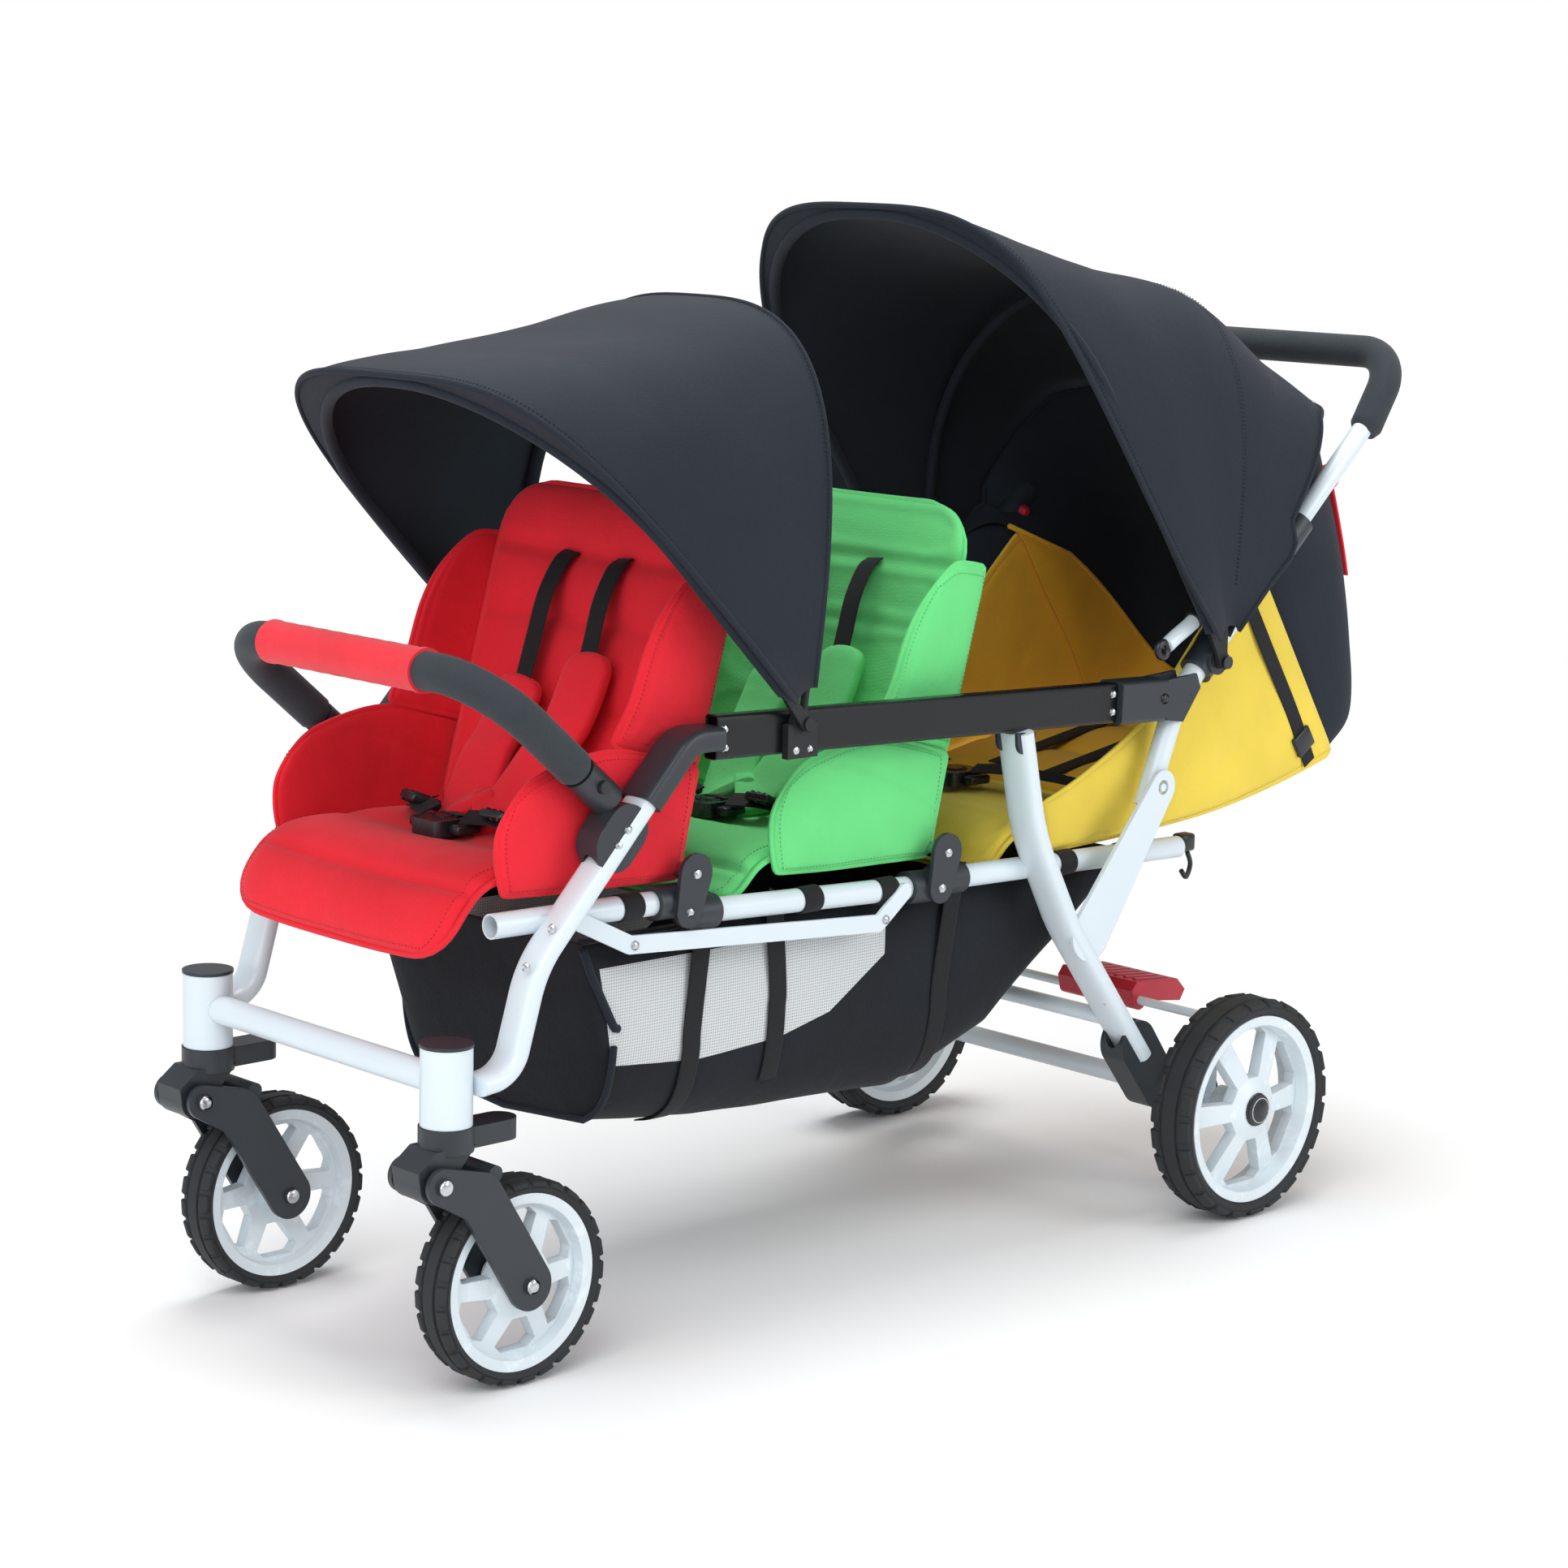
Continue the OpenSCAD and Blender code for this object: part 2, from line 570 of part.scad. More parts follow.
// Brake: a bail that swings about the rear axle
bail_x = frame_half + bracket_half + 1;
bail_t = 5;
bail_bar_r = 5;
module brake_bail() {
  color(white) {
    both() difference() {
      slab(bail_x, bail_x + bail_t) taper_bar(rear_axle_at, 13, brake_bar_at, 9);
      peg(rear_axle_at, rear_axle_r + run_fit, 0, 400);
    }
    peg(brake_bar_at, bail_bar_r, -bail_x - 1, bail_x + 1);
  }
}
pedal_w = 112;
pedal_x = 62;
module brake_pedal() {
  color([0.75, 0.14, 0.2]) translate([pedal_x, 0, 0]) difference() {
    union() {
      slab(-pedal_w / 2, pedal_w / 2) {
        translate(brake_bar_at) circle(bail_bar_r + 6);
        polygon([brake_bar_at + [-11, 0], brake_bar_at + [11, -2], brake_bar_at + [70, -10],
          brake_bar_at + [78, 2], brake_bar_at + [64, 16],
            brake_bar_at + [-6, 22], brake_bar_at + [-14, 12]]);
      }
      // Grip ribs
      for (i = [0 : 6]) translate([-pedal_w / 2 + 14 + i * 14, brake_bar_at.x + 2, brake_bar_at.y + 20])
        rotate([-6, 0, 0]) cube([5, 56, 3]);
    }
    peg(brake_bar_at, bail_bar_r, -200, 200);
  }
}

// Fold link: a flat plate outside the rear leg, up to the foot of the handle tube
link_in = max(handle_r, rear_leg_t / 2) + side_gap;
link_t = 5;
module fold_links() {
  color(white) both() translate([frame_half, 0, 0]) {
    difference() {
      slab(link_in, link_in + link_t) taper_bar(link_pivot, 29, slip_pivot, 19);
      peg(slip_pivot, pin_r + link_slack, -40, 40);
    }
    peg(link_pivot, pin_r, -rear_leg_t / 2, link_in + 1);
  }
}

// Handle: a lower tube in two straight stretches, an inner tube that slides in it, and a foam grip
inner_r = handle_r - handle_wall - run_fit;
slide_depth = 74;
socket_depth = 140;
tube_top = along(handle_bend, handle_a, 236);
module handle_lower_tubes() {
  color(white) both() translate([frame_half, 0, 0]) {
    difference() {
      union() {
        stretch(handle_foot, along(handle_bend, ang(handle_foot, handle_bend), 3)) circle(handle_r);
        stretch(along(handle_bend, handle_a, -3), tube_top) circle(handle_r);
      }
      stretch(along(tube_top, handle_a, -socket_depth), along(tube_top, handle_a, 10))
        circle(handle_r - handle_wall);
      peg(fold_pivot, pin_r + run_fit, -40, 40);
    }
    peg(slip_pivot, pin_r, 0, link_in + link_t);
  }
}
module height_collars() {
  color(black) both() translate([frame_half, 0, 0]) difference() {
    stretch(collar_foot, along(collar_foot, handle_a, collar_len)) circle(collar_r);
    stretch(along(collar_foot, handle_a, -5), along(tube_top, handle_a, seat_gap)) circle(handle_r + 0.05);
    stretch(tube_top, along(collar_foot, handle_a, 90)) circle(inner_r + run_fit);
  }
}
grip_mouth = along(grip_start, handle_a, -20);
tube_end = along(grip_start, handle_a, 14);
module handle_upper_tube() {
  color(white) both() translate([frame_half, 0, 0])
    stretch(along(tube_top, handle_a, -slide_depth), tube_end) circle(inner_r);
}
// The grip's centre line on one side, from its mouth to the middle of the cross bar
grip_corner = 48;
grip_side = concat(
  [for (p = run_points([grip_mouth, grip_start, along(grip_start, grip_a, grip_reach - grip_corner)],
    [0, 40, 0]))
    [frame_half, p.x, p.y]],
  [for (j = [1 : 6]) let(b = 15 * j,
    p = along(grip_start, grip_a, grip_reach - grip_corner + grip_corner * sin(b)))
    [frame_half - grip_corner * (1 - cos(b)), p.x, p.y]]);
module handle_grip() {
  line = concat(grip_side,
    [for (i = [len(grip_side) - 1 : -1 : 0]) [-grip_side[i].x, grip_side[i].y, grip_side[i].z]]);
  color(cloth_black) difference() {
    sweep(line, round_points(grip_r), [0, -sin(grip_a), cos(grip_a)]);
    both() translate([frame_half, 0, 0])
      stretch(along(grip_mouth, handle_a, -5), along(tube_end, handle_a, 1))
      circle(inner_r + 0.05);
  }
}

// Rear hood
clamp_x = handle_r + 9;
hood_pin_x = frame_half + clamp_x;
eye_t = 5;
module hood_clamps() {
  color(black) both() {
    translate([frame_half, 0, 0]) difference() {
      union() {
        stretch(along(hood_pivot, handle_a, -18), along(hood_pivot, handle_a, 20)) circle(handle_r + 6);
        slab(0, clamp_x) translate(hood_pivot) circle(15);
      }
      stretch(along(hood_pivot, handle_a, -40), along(hood_pivot, handle_a, 40)) circle(handle_r + 0.05);
    }
    peg(hood_pivot, bow_pin_r, hood_pin_x - 1, hood_pin_x + 2 * eye_t + 2);
    peg(hood_pivot, 7, hood_pin_x + 2 * eye_t + 2, hood_pin_x + 2 * eye_t + 4);
  }
}
// A canopy bow: eyes at the pivot, legs, and an arch under the cloth's arch g = [angle, top distance]
bow_corner = 218;
function bow_drop(slope) = cloth_t + (bow_r + seat_gap) / cos(slope);
module bow(p, g, drop, x0, start) {
  half = x0 + eye_t / 2;
  color(black) difference() {
    union() {
      u_run(p, g.x, half, g.y - drop, bow_corner, start) circle(bow_r);
      both() slab(x0 + seat_gap, x0 + eye_t) taper_bar(p, 8, along(p, g.x, start + 8), bow_r);
    }
    peg(p, bow_pin_r + run_fit, -400, 400);
  }
}
// Each arch: its angle, the distance of its top from the pivot, and how much it is wider than the rear one
hood_arches = [[125, 585, 16], [115, 500, 12], [102, 435, 7], [85, 402, 4], [66, 370, 2], [45, 377, 0]];
module hood_front_bow() bow(hood_pivot, hood_arches[0], bow_drop(48) + 1, hood_pin_x + eye_t, 34);
module hood_middle_bow() bow(hood_pivot, hood_arches[3], bow_drop(27), hood_pin_x, 30);
module rear_hood() {
  color(cloth_black) fan(hood_pivot, hood_half_w, 40, hood_arches, 10);
}

// Front canopy
canopy_pin_x = frame_half + rail_t / 2 + 4;
canopy_arches = [[135.5, 472, 7], [120.5, 410, 5], [102, 385, 3], [83, 402, 0]];
module canopy_front_bow() bow(canopy_pivot, canopy_arches[0], bow_drop(36) + 1,
  canopy_pin_x + eye_t + 2.5, 30);
module canopy_rear_bow() {
  g = canopy_arches[3];
  color(black) {
    u_run(canopy_pivot, g.x, canopy_pin_x + eye_t / 2, g.y - bow_drop(18), bow_corner, 6) circle(bow_r);
    both() {
      // Clip on the rail's outer face, with the pin of the folding bow
      slab(frame_half + rail_t / 2 + seat_gap, canopy_pin_x + eye_t - seat_gap) {
        translate(canopy_pivot) circle(13);
        translate(canopy_pivot + [-20, -34]) square([40, 34]);
      }
      peg(canopy_pivot, bow_pin_r, canopy_pin_x, canopy_pin_x + 2 * eye_t + 4);
      peg(canopy_pivot, 7, canopy_pin_x + 2 * eye_t + 3, canopy_pin_x + 2 * eye_t + 5);
    }
  }
}
module front_canopy() {
  color(cloth_black) fan(canopy_pivot, canopy_half_w, 36, canopy_arches, 8);
}

// Bumper
bumper_a = 139.7;
bumper_foot = leg_top + [-38, 6];
bumper_x = frame_half - 4;
socket_len = 46;
module bumper_sockets() {
  color(black) both() difference() {
    union() {
      translate([bumper_x, 0, 0]) stretch(bumper_foot, along(bumper_foot, bumper_a, socket_len))
        circle(bumper_tube_r + 8);
      slab(frame_half - front_leg_t / 2 - 5, frame_half + front_leg_t / 2 + 5)
        taper_bar(leg_top + [-41, -35], 25, leg_top + [-28, -21], 25);
    }
    translate([bumper_x, 0, 0]) stretch(along(bumper_foot, bumper_a, 6), along(bumper_foot, bumper_a, 90))
      circle(bumper_tube_r + 0.3);
    translate([frame_half, 0, 0]) stretch(leg_bend, leg_top)
      oval(front_leg_d + 2 * seat_gap, front_leg_t + 2 * seat_gap);
    peg(button_at, button_r + 0.3, bumper_x + bumper_tube_r + 3, 300);
  }
}
button_at = along(bumper_foot, bumper_a, 26);
button_r = 6;
button_travel = 3;
module bumper_button(s) {
  color(black) side(s)
    peg(button_at, button_r, bumper_x + bumper_tube_r + 3 + button_travel + 0.3,
      bumper_x + bumper_tube_r + 13);
}
module bumper_bar() {
  color(steel) u_run(bumper_foot, bumper_a, bumper_x, bumper_reach + 6, 70, 7) circle(bumper_tube_r);
}
module bumper_foam() {
  color(cloth_black) difference() {
    u_run(bumper_foot, bumper_a, bumper_x, bumper_reach + 6, 70, socket_len + 1) circle(bumper_foam_r);
    u_run(bumper_foot, bumper_a, bumper_x, bumper_reach + 6, 70, 0) circle(bumper_tube_r + 0.05);
  }
}

// Seat frame: three straight tubes on each side, joined end to end by sleeved brackets
seat_tube_ends = [[at(-22, 438), at(213, 434)], [at(216, 420), at(559, 405)], [at(562, 410), at(948, 400)]];
function tube_top(e, y) =
  e[0].y + (y - e[0].x) * (e[1].y - e[0].y) / (e[1].x - e[0].x) + seat_tube_r + seat_gap;
module seat_tubes() {
  color(white) both() {
    translate([seat_tube_x, 0, 0]) for (e = seat_tube_ends)
      stretch(e[0], e[1]) ring(seat_tube_r, tube_wall);
    // Boss riveted to the front leg
    peg(at(34, 437), 7, seat_tube_x + 4, frame_half - front_leg_t / 2 - seat_gap);
  }
}
front_hinge = at(214, 462);
middle_hinge = front_hinge + [seat_pitch, -seat_drop];
bracket_t = 5;
sleeve_r = seat_tube_r + 5;
sleeve_len = 38;
bracket_x = seat_tube_x + sleeve_r - 0.5;
module seat_brackets() {
  color(black) for (i = [0, 1]) both() {
    h = i == 0 ? front_hinge : middle_hinge;
    before = seat_tube_ends[i];
    after = seat_tube_ends[i + 1];
    slab(bracket_x, bracket_x + bracket_t) taper_bar(h, 20, h + [-8, -36], 16);
    translate([seat_tube_x, 0, 0]) {
      stretch(along(before[1], ang(before[0], before[1]), -sleeve_len), before[1])
        ring(sleeve_r, 5 - seat_gap);
      stretch(after[0], along(after[0], ang(after[0], after[1]), sleeve_len)) ring(sleeve_r, 5 - seat_gap);
    }
    peg(h, pin_r, bracket_x - 14, bracket_x + 1);
  }
}
link_bar_x = seat_tube_x + seat_tube_r + seat_gap;
module link_bars() {
  color(white) both() difference() {
    slab(link_bar_x, link_bar_x + 3.5) {
      taper_bar(at(66, 436), 9, at(136, 402), 9);
      taper_bar(at(136, 402), 9, at(470, 379), 9);
      taper_bar(at(470, 379), 9, at(506, 407), 9);
    }
    translate([frame_half, 0, 0]) stretch(leg_bend, leg_top)
      oval(front_leg_d + 2 * seat_gap, front_leg_t + 2 * seat_gap);
  }
}

// Seats. Each upright seat is the front one moved by the pitch and the drop
module seat_pad_solids(shift, lip, tube) {
  place = function (d, z) at(d, z) + shift;
  rest = function (d) [place(d, 0).x, tube_top(tube, place(d, 0).x)];
  pad([place(-46, lip), place(-22, 440), place(20, 454), place(110, 454), place(196, 452)],
    seat_half_w, seat_pad_t,
    10, 0.02, [0.3, 0.62], 0.35);
  lift = [0, sleeve_r - seat_tube_r + seat_gap];
  both() panel([rest(-8), rest(80), rest(166) + lift, rest(196) + lift],
    [place(0, 552), place(44, 572), place(130, 576), place(196, 564)],
      seat_half_w + seat_gap, seat_half_w + 11, 4);
}
module front_seat() color(red) seat_pad_solids([0, 0], 404, seat_tube_ends[0]);
module middle_seat() color(green) seat_pad_solids([seat_pitch, -seat_drop], 430, seat_tube_ends[1]);
back_a = 75;
back_tube_r = 7;
module back_solids(h) {
  base = along(h, back_a + 90, back_tube_r + seat_gap);
  pad([for (s = [0.08, 0.3, 0.55, 0.8, 1]) along(base, back_a, s * back_h)], seat_half_w, back_pad_t,
    10, 0.004, [0.33, 0.6, 0.8], 0.4);
  wing = function (s, f) along(along(h, back_a + 90, f), back_a, s);
  both() panel([for (s = [108, 200, 292]) along(base, back_a, s)],
    [wing(108, 112), wing(195, 98), wing(270, 78)],
    seat_half_w + seat_gap, seat_half_w + 11, 4);
}
module front_back() color(red) back_solids(front_hinge);
module middle_back() color(green) back_solids(middle_hinge);
module back_frame(h) {
  end = bracket_x - side_gap;
  color(steel) difference() {
    union() {
      u_run(h, back_a, back_frame_half, back_h - 12, 40, 0) circle(back_tube_r);
      peg(h, back_tube_r + 1, -end, end);
    }
    both() peg(h, pin_r + run_fit, bracket_x - 15, 300);
  }
}
module front_back_frame() back_frame(front_hinge);
module middle_back_frame() back_frame(middle_hinge);
rear_seam = at(877.6, 430);
module rear_seat() color(yellow) {
  rest = function (d) [at(d, 0).x, tube_top(seat_tube_ends[2], at(d, 0).x)];
  pad([at(672, 410), at(690, 424), at(720, 430), at(800, 428), at(876, 426)],
    seat_half_w, seat_pad_t, 10, 0.02,
    [0.35, 0.65], 0.35);
  both() panel([rest(740) + [0, 0.3], rest(874) + [0, 1.2], at(1011, 434), at(1214, 486)],
    [at(752, 486), at(884, 556), at(1050, 690), at(1246, 640)], seat_half_w + seat_gap, seat_half_w + 11, 4);
}
module rear_back() color(yellow) pad([for (s = [0, 0.3, 0.6, 1]) rear_seam + s * [324, 54]], seat_half_w - 4,
  back_pad_t, 10, 0.02, [0.35, 0.68], 0.4);
module head_panel() color(cloth_black)
  pad([at(1214, 488), at(1252, 560), at(1256, 680), at(1238, 770), at(1224, 834)],
    seat_half_w, 6, 4, 0, [2], 0, 6, 8);

// Harness buckles and their push buttons
buckle_d = 46;
buckle_t = 16;
button_hole_r = 9;
buckle_spots = [at(66, 488.4), at(66 + seat_pitch, 488.4 - seat_drop), at(780, 462.8)];
module buckles() {
  color(black) for (p = buckle_spots) translate([0, p.x, p.y]) difference() {
    linear_extrude(buckle_t) round_rect(buckle_d + 6, buckle_d, 10);
    translate([0, 0, 5]) cylinder(r = button_hole_r + 0.3, h = buckle_t);
  }
}
module buckle_button(i) {
  p = buckle_spots[i];
  color(black) translate([0, p.x, p.y + 5 + 3.5]) cylinder(r = button_hole_r, h = buckle_t - 5 - 2);
}

// Basket: a hammock of cloth under the seats, its rim against the sleeves of the seat tubes
basket_half_w = seat_tube_x - sleeve_r - seat_gap;
basket_line = [[104, basket_rim_z], [116, 330], [146, 206], [300, 190], [570, 174], [691, 214], [800, 306],
  [884, basket_rim_z]];
module basket() {
  n = 16;
  m = 14;
  place = function (i, j, t) let(v = i / n, q = poly_at(basket_line, v), c = -cos(180 * j / m),
      s = sin(180 * j / m), deep = max(basket_rim_z - q.y - t, 0.8 - t / 10))
    [(basket_half_w - t) * sgn_pow(c, 0.4), q.x - front_reach + t * (1 - 2 * v),
      basket_rim_z - deep * pow(s, 0.4)];
  color(cloth_black) between([for (i = [0 : n]) [for (j = [0 : m]) place(i, j, 0)]],
    [for (i = [0 : n]) [for (j = [0 : m]) place(i, j, cloth_t)]]);
}

front_legs();
caster_tubes();
caster_caps();
front_cross_tube();
side_rails();
rail_elbows();
rail_ends();
leg_hangers();
seat_tubes();
seat_brackets();
link_bars();
bumper_sockets();
canopy_rear_bow();
front_canopy();
basket();
front_seat();
middle_seat();
rear_seat();
buckles();
front_back();
front_back_frame();
middle_back();
middle_back_frame();
rear_back();
head_panel();
rear_legs();
rear_brackets();
rear_axle();
upper_cross_tube();
brake_bail();
brake_pedal();
fold_links();
handle_lower_tubes();
height_collars();
hood_clamps();
rear_hood();
handle_upper_tube();
handle_grip();
hood_front_bow();
hood_middle_bow();
canopy_front_bow();
bumper_bar();
bumper_foam();
caster_head(1);  // caster_head_left
caster_head(-1);  // caster_head_right
caster_fork(1);  // caster_fork_left
caster_fork(-1);  // caster_fork_right
front_tyre(1);  // front_tyre_left
front_tyre(-1);  // front_tyre_right
front_rim(1);  // front_rim_left
front_rim(-1);  // front_rim_right
rear_tyre(1);  // rear_tyre_left
rear_tyre(-1);  // rear_tyre_right
rear_rim(1);  // rear_rim_left
rear_rim(-1);  // rear_rim_right
buckle_button(0);  // front_buckle_button
buckle_button(1);  // middle_buckle_button
buckle_button(2);  // rear_buckle_button
bumper_button(1);  // bumper_button_left
bumper_button(-1);  // bumper_button_right
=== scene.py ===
"""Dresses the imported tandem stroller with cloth, webbing, foam, tyres, trim and finishes in a studio."""

import json
import math

import bmesh
import bpy
from bpy.props import FloatProperty, FloatVectorProperty, IntProperty, PointerProperty
from mathutils import Matrix, Vector, noise
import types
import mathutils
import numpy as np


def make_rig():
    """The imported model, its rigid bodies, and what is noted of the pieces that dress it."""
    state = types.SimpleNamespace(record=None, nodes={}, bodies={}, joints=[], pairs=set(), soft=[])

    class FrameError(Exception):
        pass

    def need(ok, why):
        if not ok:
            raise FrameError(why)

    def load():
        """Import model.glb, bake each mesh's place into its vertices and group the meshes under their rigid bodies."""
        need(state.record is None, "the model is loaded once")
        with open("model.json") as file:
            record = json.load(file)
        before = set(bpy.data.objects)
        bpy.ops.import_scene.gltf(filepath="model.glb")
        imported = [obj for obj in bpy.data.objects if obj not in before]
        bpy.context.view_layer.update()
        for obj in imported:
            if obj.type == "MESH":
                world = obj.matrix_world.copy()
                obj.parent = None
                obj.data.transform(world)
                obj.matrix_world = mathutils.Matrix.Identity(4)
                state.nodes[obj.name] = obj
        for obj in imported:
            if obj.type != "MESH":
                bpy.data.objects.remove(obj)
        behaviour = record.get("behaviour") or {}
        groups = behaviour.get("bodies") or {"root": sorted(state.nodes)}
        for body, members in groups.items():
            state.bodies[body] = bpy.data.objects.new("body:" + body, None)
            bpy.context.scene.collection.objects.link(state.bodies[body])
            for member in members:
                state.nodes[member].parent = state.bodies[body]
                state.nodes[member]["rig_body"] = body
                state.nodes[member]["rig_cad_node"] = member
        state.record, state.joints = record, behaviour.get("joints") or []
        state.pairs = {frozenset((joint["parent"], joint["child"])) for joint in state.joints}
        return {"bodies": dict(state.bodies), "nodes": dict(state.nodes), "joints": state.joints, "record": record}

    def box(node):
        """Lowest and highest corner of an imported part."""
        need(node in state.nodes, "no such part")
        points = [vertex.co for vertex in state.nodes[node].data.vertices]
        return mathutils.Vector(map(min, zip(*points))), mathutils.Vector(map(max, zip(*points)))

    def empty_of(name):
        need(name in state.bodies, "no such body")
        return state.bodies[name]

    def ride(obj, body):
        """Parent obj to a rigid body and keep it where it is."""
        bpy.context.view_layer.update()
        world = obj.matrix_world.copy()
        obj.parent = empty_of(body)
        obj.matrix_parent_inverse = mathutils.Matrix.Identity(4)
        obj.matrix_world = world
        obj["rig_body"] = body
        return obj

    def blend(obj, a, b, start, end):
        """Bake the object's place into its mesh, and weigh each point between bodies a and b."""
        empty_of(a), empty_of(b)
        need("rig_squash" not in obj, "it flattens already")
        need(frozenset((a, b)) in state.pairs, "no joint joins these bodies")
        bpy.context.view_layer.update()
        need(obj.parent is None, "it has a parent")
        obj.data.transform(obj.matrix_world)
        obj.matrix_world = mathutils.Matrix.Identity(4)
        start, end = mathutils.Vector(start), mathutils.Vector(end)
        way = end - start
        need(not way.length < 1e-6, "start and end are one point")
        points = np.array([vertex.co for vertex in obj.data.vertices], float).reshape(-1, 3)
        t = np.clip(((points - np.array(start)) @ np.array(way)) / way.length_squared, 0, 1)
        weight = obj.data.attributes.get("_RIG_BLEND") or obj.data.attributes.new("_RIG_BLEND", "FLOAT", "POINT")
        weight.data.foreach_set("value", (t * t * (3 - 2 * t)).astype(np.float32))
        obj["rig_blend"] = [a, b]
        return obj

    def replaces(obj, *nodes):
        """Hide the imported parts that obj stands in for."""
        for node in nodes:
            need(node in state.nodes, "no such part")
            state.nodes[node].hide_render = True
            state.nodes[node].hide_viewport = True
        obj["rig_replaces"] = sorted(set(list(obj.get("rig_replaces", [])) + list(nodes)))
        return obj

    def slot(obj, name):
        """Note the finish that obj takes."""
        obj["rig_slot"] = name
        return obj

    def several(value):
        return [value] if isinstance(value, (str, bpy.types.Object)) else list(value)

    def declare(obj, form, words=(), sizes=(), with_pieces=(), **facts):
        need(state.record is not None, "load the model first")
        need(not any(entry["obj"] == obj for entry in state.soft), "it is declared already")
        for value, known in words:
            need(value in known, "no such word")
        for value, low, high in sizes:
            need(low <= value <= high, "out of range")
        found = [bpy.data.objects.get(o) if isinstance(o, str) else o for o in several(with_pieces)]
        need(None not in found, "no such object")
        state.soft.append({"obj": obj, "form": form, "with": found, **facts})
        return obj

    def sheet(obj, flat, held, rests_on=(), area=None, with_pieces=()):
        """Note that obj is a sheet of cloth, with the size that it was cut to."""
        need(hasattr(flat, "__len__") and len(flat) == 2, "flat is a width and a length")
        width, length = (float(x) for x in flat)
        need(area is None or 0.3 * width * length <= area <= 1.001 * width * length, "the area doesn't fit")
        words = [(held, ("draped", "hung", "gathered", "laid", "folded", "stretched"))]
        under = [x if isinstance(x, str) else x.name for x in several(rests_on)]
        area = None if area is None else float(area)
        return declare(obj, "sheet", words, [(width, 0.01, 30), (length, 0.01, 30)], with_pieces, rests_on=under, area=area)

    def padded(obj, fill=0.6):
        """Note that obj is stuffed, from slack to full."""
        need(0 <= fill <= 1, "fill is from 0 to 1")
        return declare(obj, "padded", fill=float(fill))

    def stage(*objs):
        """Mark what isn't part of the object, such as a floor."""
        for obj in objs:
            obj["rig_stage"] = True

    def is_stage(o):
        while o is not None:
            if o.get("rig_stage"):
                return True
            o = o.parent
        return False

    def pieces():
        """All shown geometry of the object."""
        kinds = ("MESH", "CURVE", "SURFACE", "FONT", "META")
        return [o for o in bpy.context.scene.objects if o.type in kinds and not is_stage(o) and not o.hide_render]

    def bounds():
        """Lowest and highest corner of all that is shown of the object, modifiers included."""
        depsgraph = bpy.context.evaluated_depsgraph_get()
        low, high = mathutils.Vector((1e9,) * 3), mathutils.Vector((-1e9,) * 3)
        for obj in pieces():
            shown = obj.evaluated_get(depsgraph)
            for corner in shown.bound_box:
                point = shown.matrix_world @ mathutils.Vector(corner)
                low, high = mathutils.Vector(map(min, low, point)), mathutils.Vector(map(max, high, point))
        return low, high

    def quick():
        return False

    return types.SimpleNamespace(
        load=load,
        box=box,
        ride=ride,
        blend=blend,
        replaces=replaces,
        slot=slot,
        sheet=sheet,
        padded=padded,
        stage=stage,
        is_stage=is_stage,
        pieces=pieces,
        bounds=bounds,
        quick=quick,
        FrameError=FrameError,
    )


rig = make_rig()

bl_info = {
    "name": "Tandem stroller dressing",
    "version": (1, 0, 0),
    "blender": (4, 5, 0),
    "location": "View3D > Sidebar > Stroller",
    "description": "Builds the soft goods, trim and finishes of a tandem stroller on its packed frame",
    "category": "Object",
}

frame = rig.load()
CAD_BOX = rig.bounds()
X_AXIS = Vector((1, 0, 0))
SIDES = (("left", 1), ("right", -1))

# Distances in millimetres: behind the front axle, and to each side
FRONT_REACH = 583.0
LEG_SIDE = 205
SEAT_TUBE_SIDE = 181
STUB_SIDE = 215

# A look is a finish and the slot that it fills
CANOPY = ("black_canopy_cloth", "black_cloth")
BASKET = ("basket_cloth", "black_cloth")
WEBBING = ("black_webbing", "black_cloth")
SMOOTH = ("black_smooth_moulding", "black_plastic")
ELBOWS = ("black_moulding", "gloss_black")
WHITE = ("white_powder_coat", "white_frame")
STEEL = ("plated_steel", "steel")
FOAM = ("black_foam", "foam")
RUBBER = ("tyre_rubber", "tyre")
BUTTON = ("red_pedal_moulding", "red_pedal")
SLEEVE = ("red_sleeve_cloth", "red_cloth")
# Painted shade: a darker, warmer copy of the yellow seat cloth, for the rear seat's parts in the shade under the hood
PAINTED_SHADE_YELLOW = ("amber_seat_cloth", "yellow_cloth")


def seat_looks(colour):
    """The cloth and the thread of a seat."""
    return (f"{colour}_seat_cloth", f"{colour}_cloth"), (f"{colour}_thread", f"{colour}_cloth")


# Points and runs


def at(d, z, x=0.0):
    """A point from its distance behind the front axle, its height and its side, in millimetres."""
    return Vector((x, d - FRONT_REACH, z)) / 1000.0


def side_line(points, x):
    return [at(d, z, x) for d, z in points]


def mix(a, b, t):
    return a + (b - a) * t


def smooth(t):
    return t * t * (3 - 2 * t)


def on_spline(points, t):
    """One point of the smooth curve through the given ones, t from 0 to 1."""
    n = len(points) - 1
    s = min(max(t, 0.0), 1.0) * n
    i = min(int(s), n - 1)
    f = s - i
    a, b, c, d = points[max(i - 1, 0)], points[i], points[i + 1], points[min(i + 2, n)]
    return 0.5 * (2 * b + (c - a) * f + (2 * a - 5 * b + 4 * c - d) * f * f + (3 * b - a - 3 * c + d) * f**3)


def spline(points, count):
    """Points of a smooth curve through the given ones."""
    return [on_spline(points, k / count) for k in range(count + 1)]


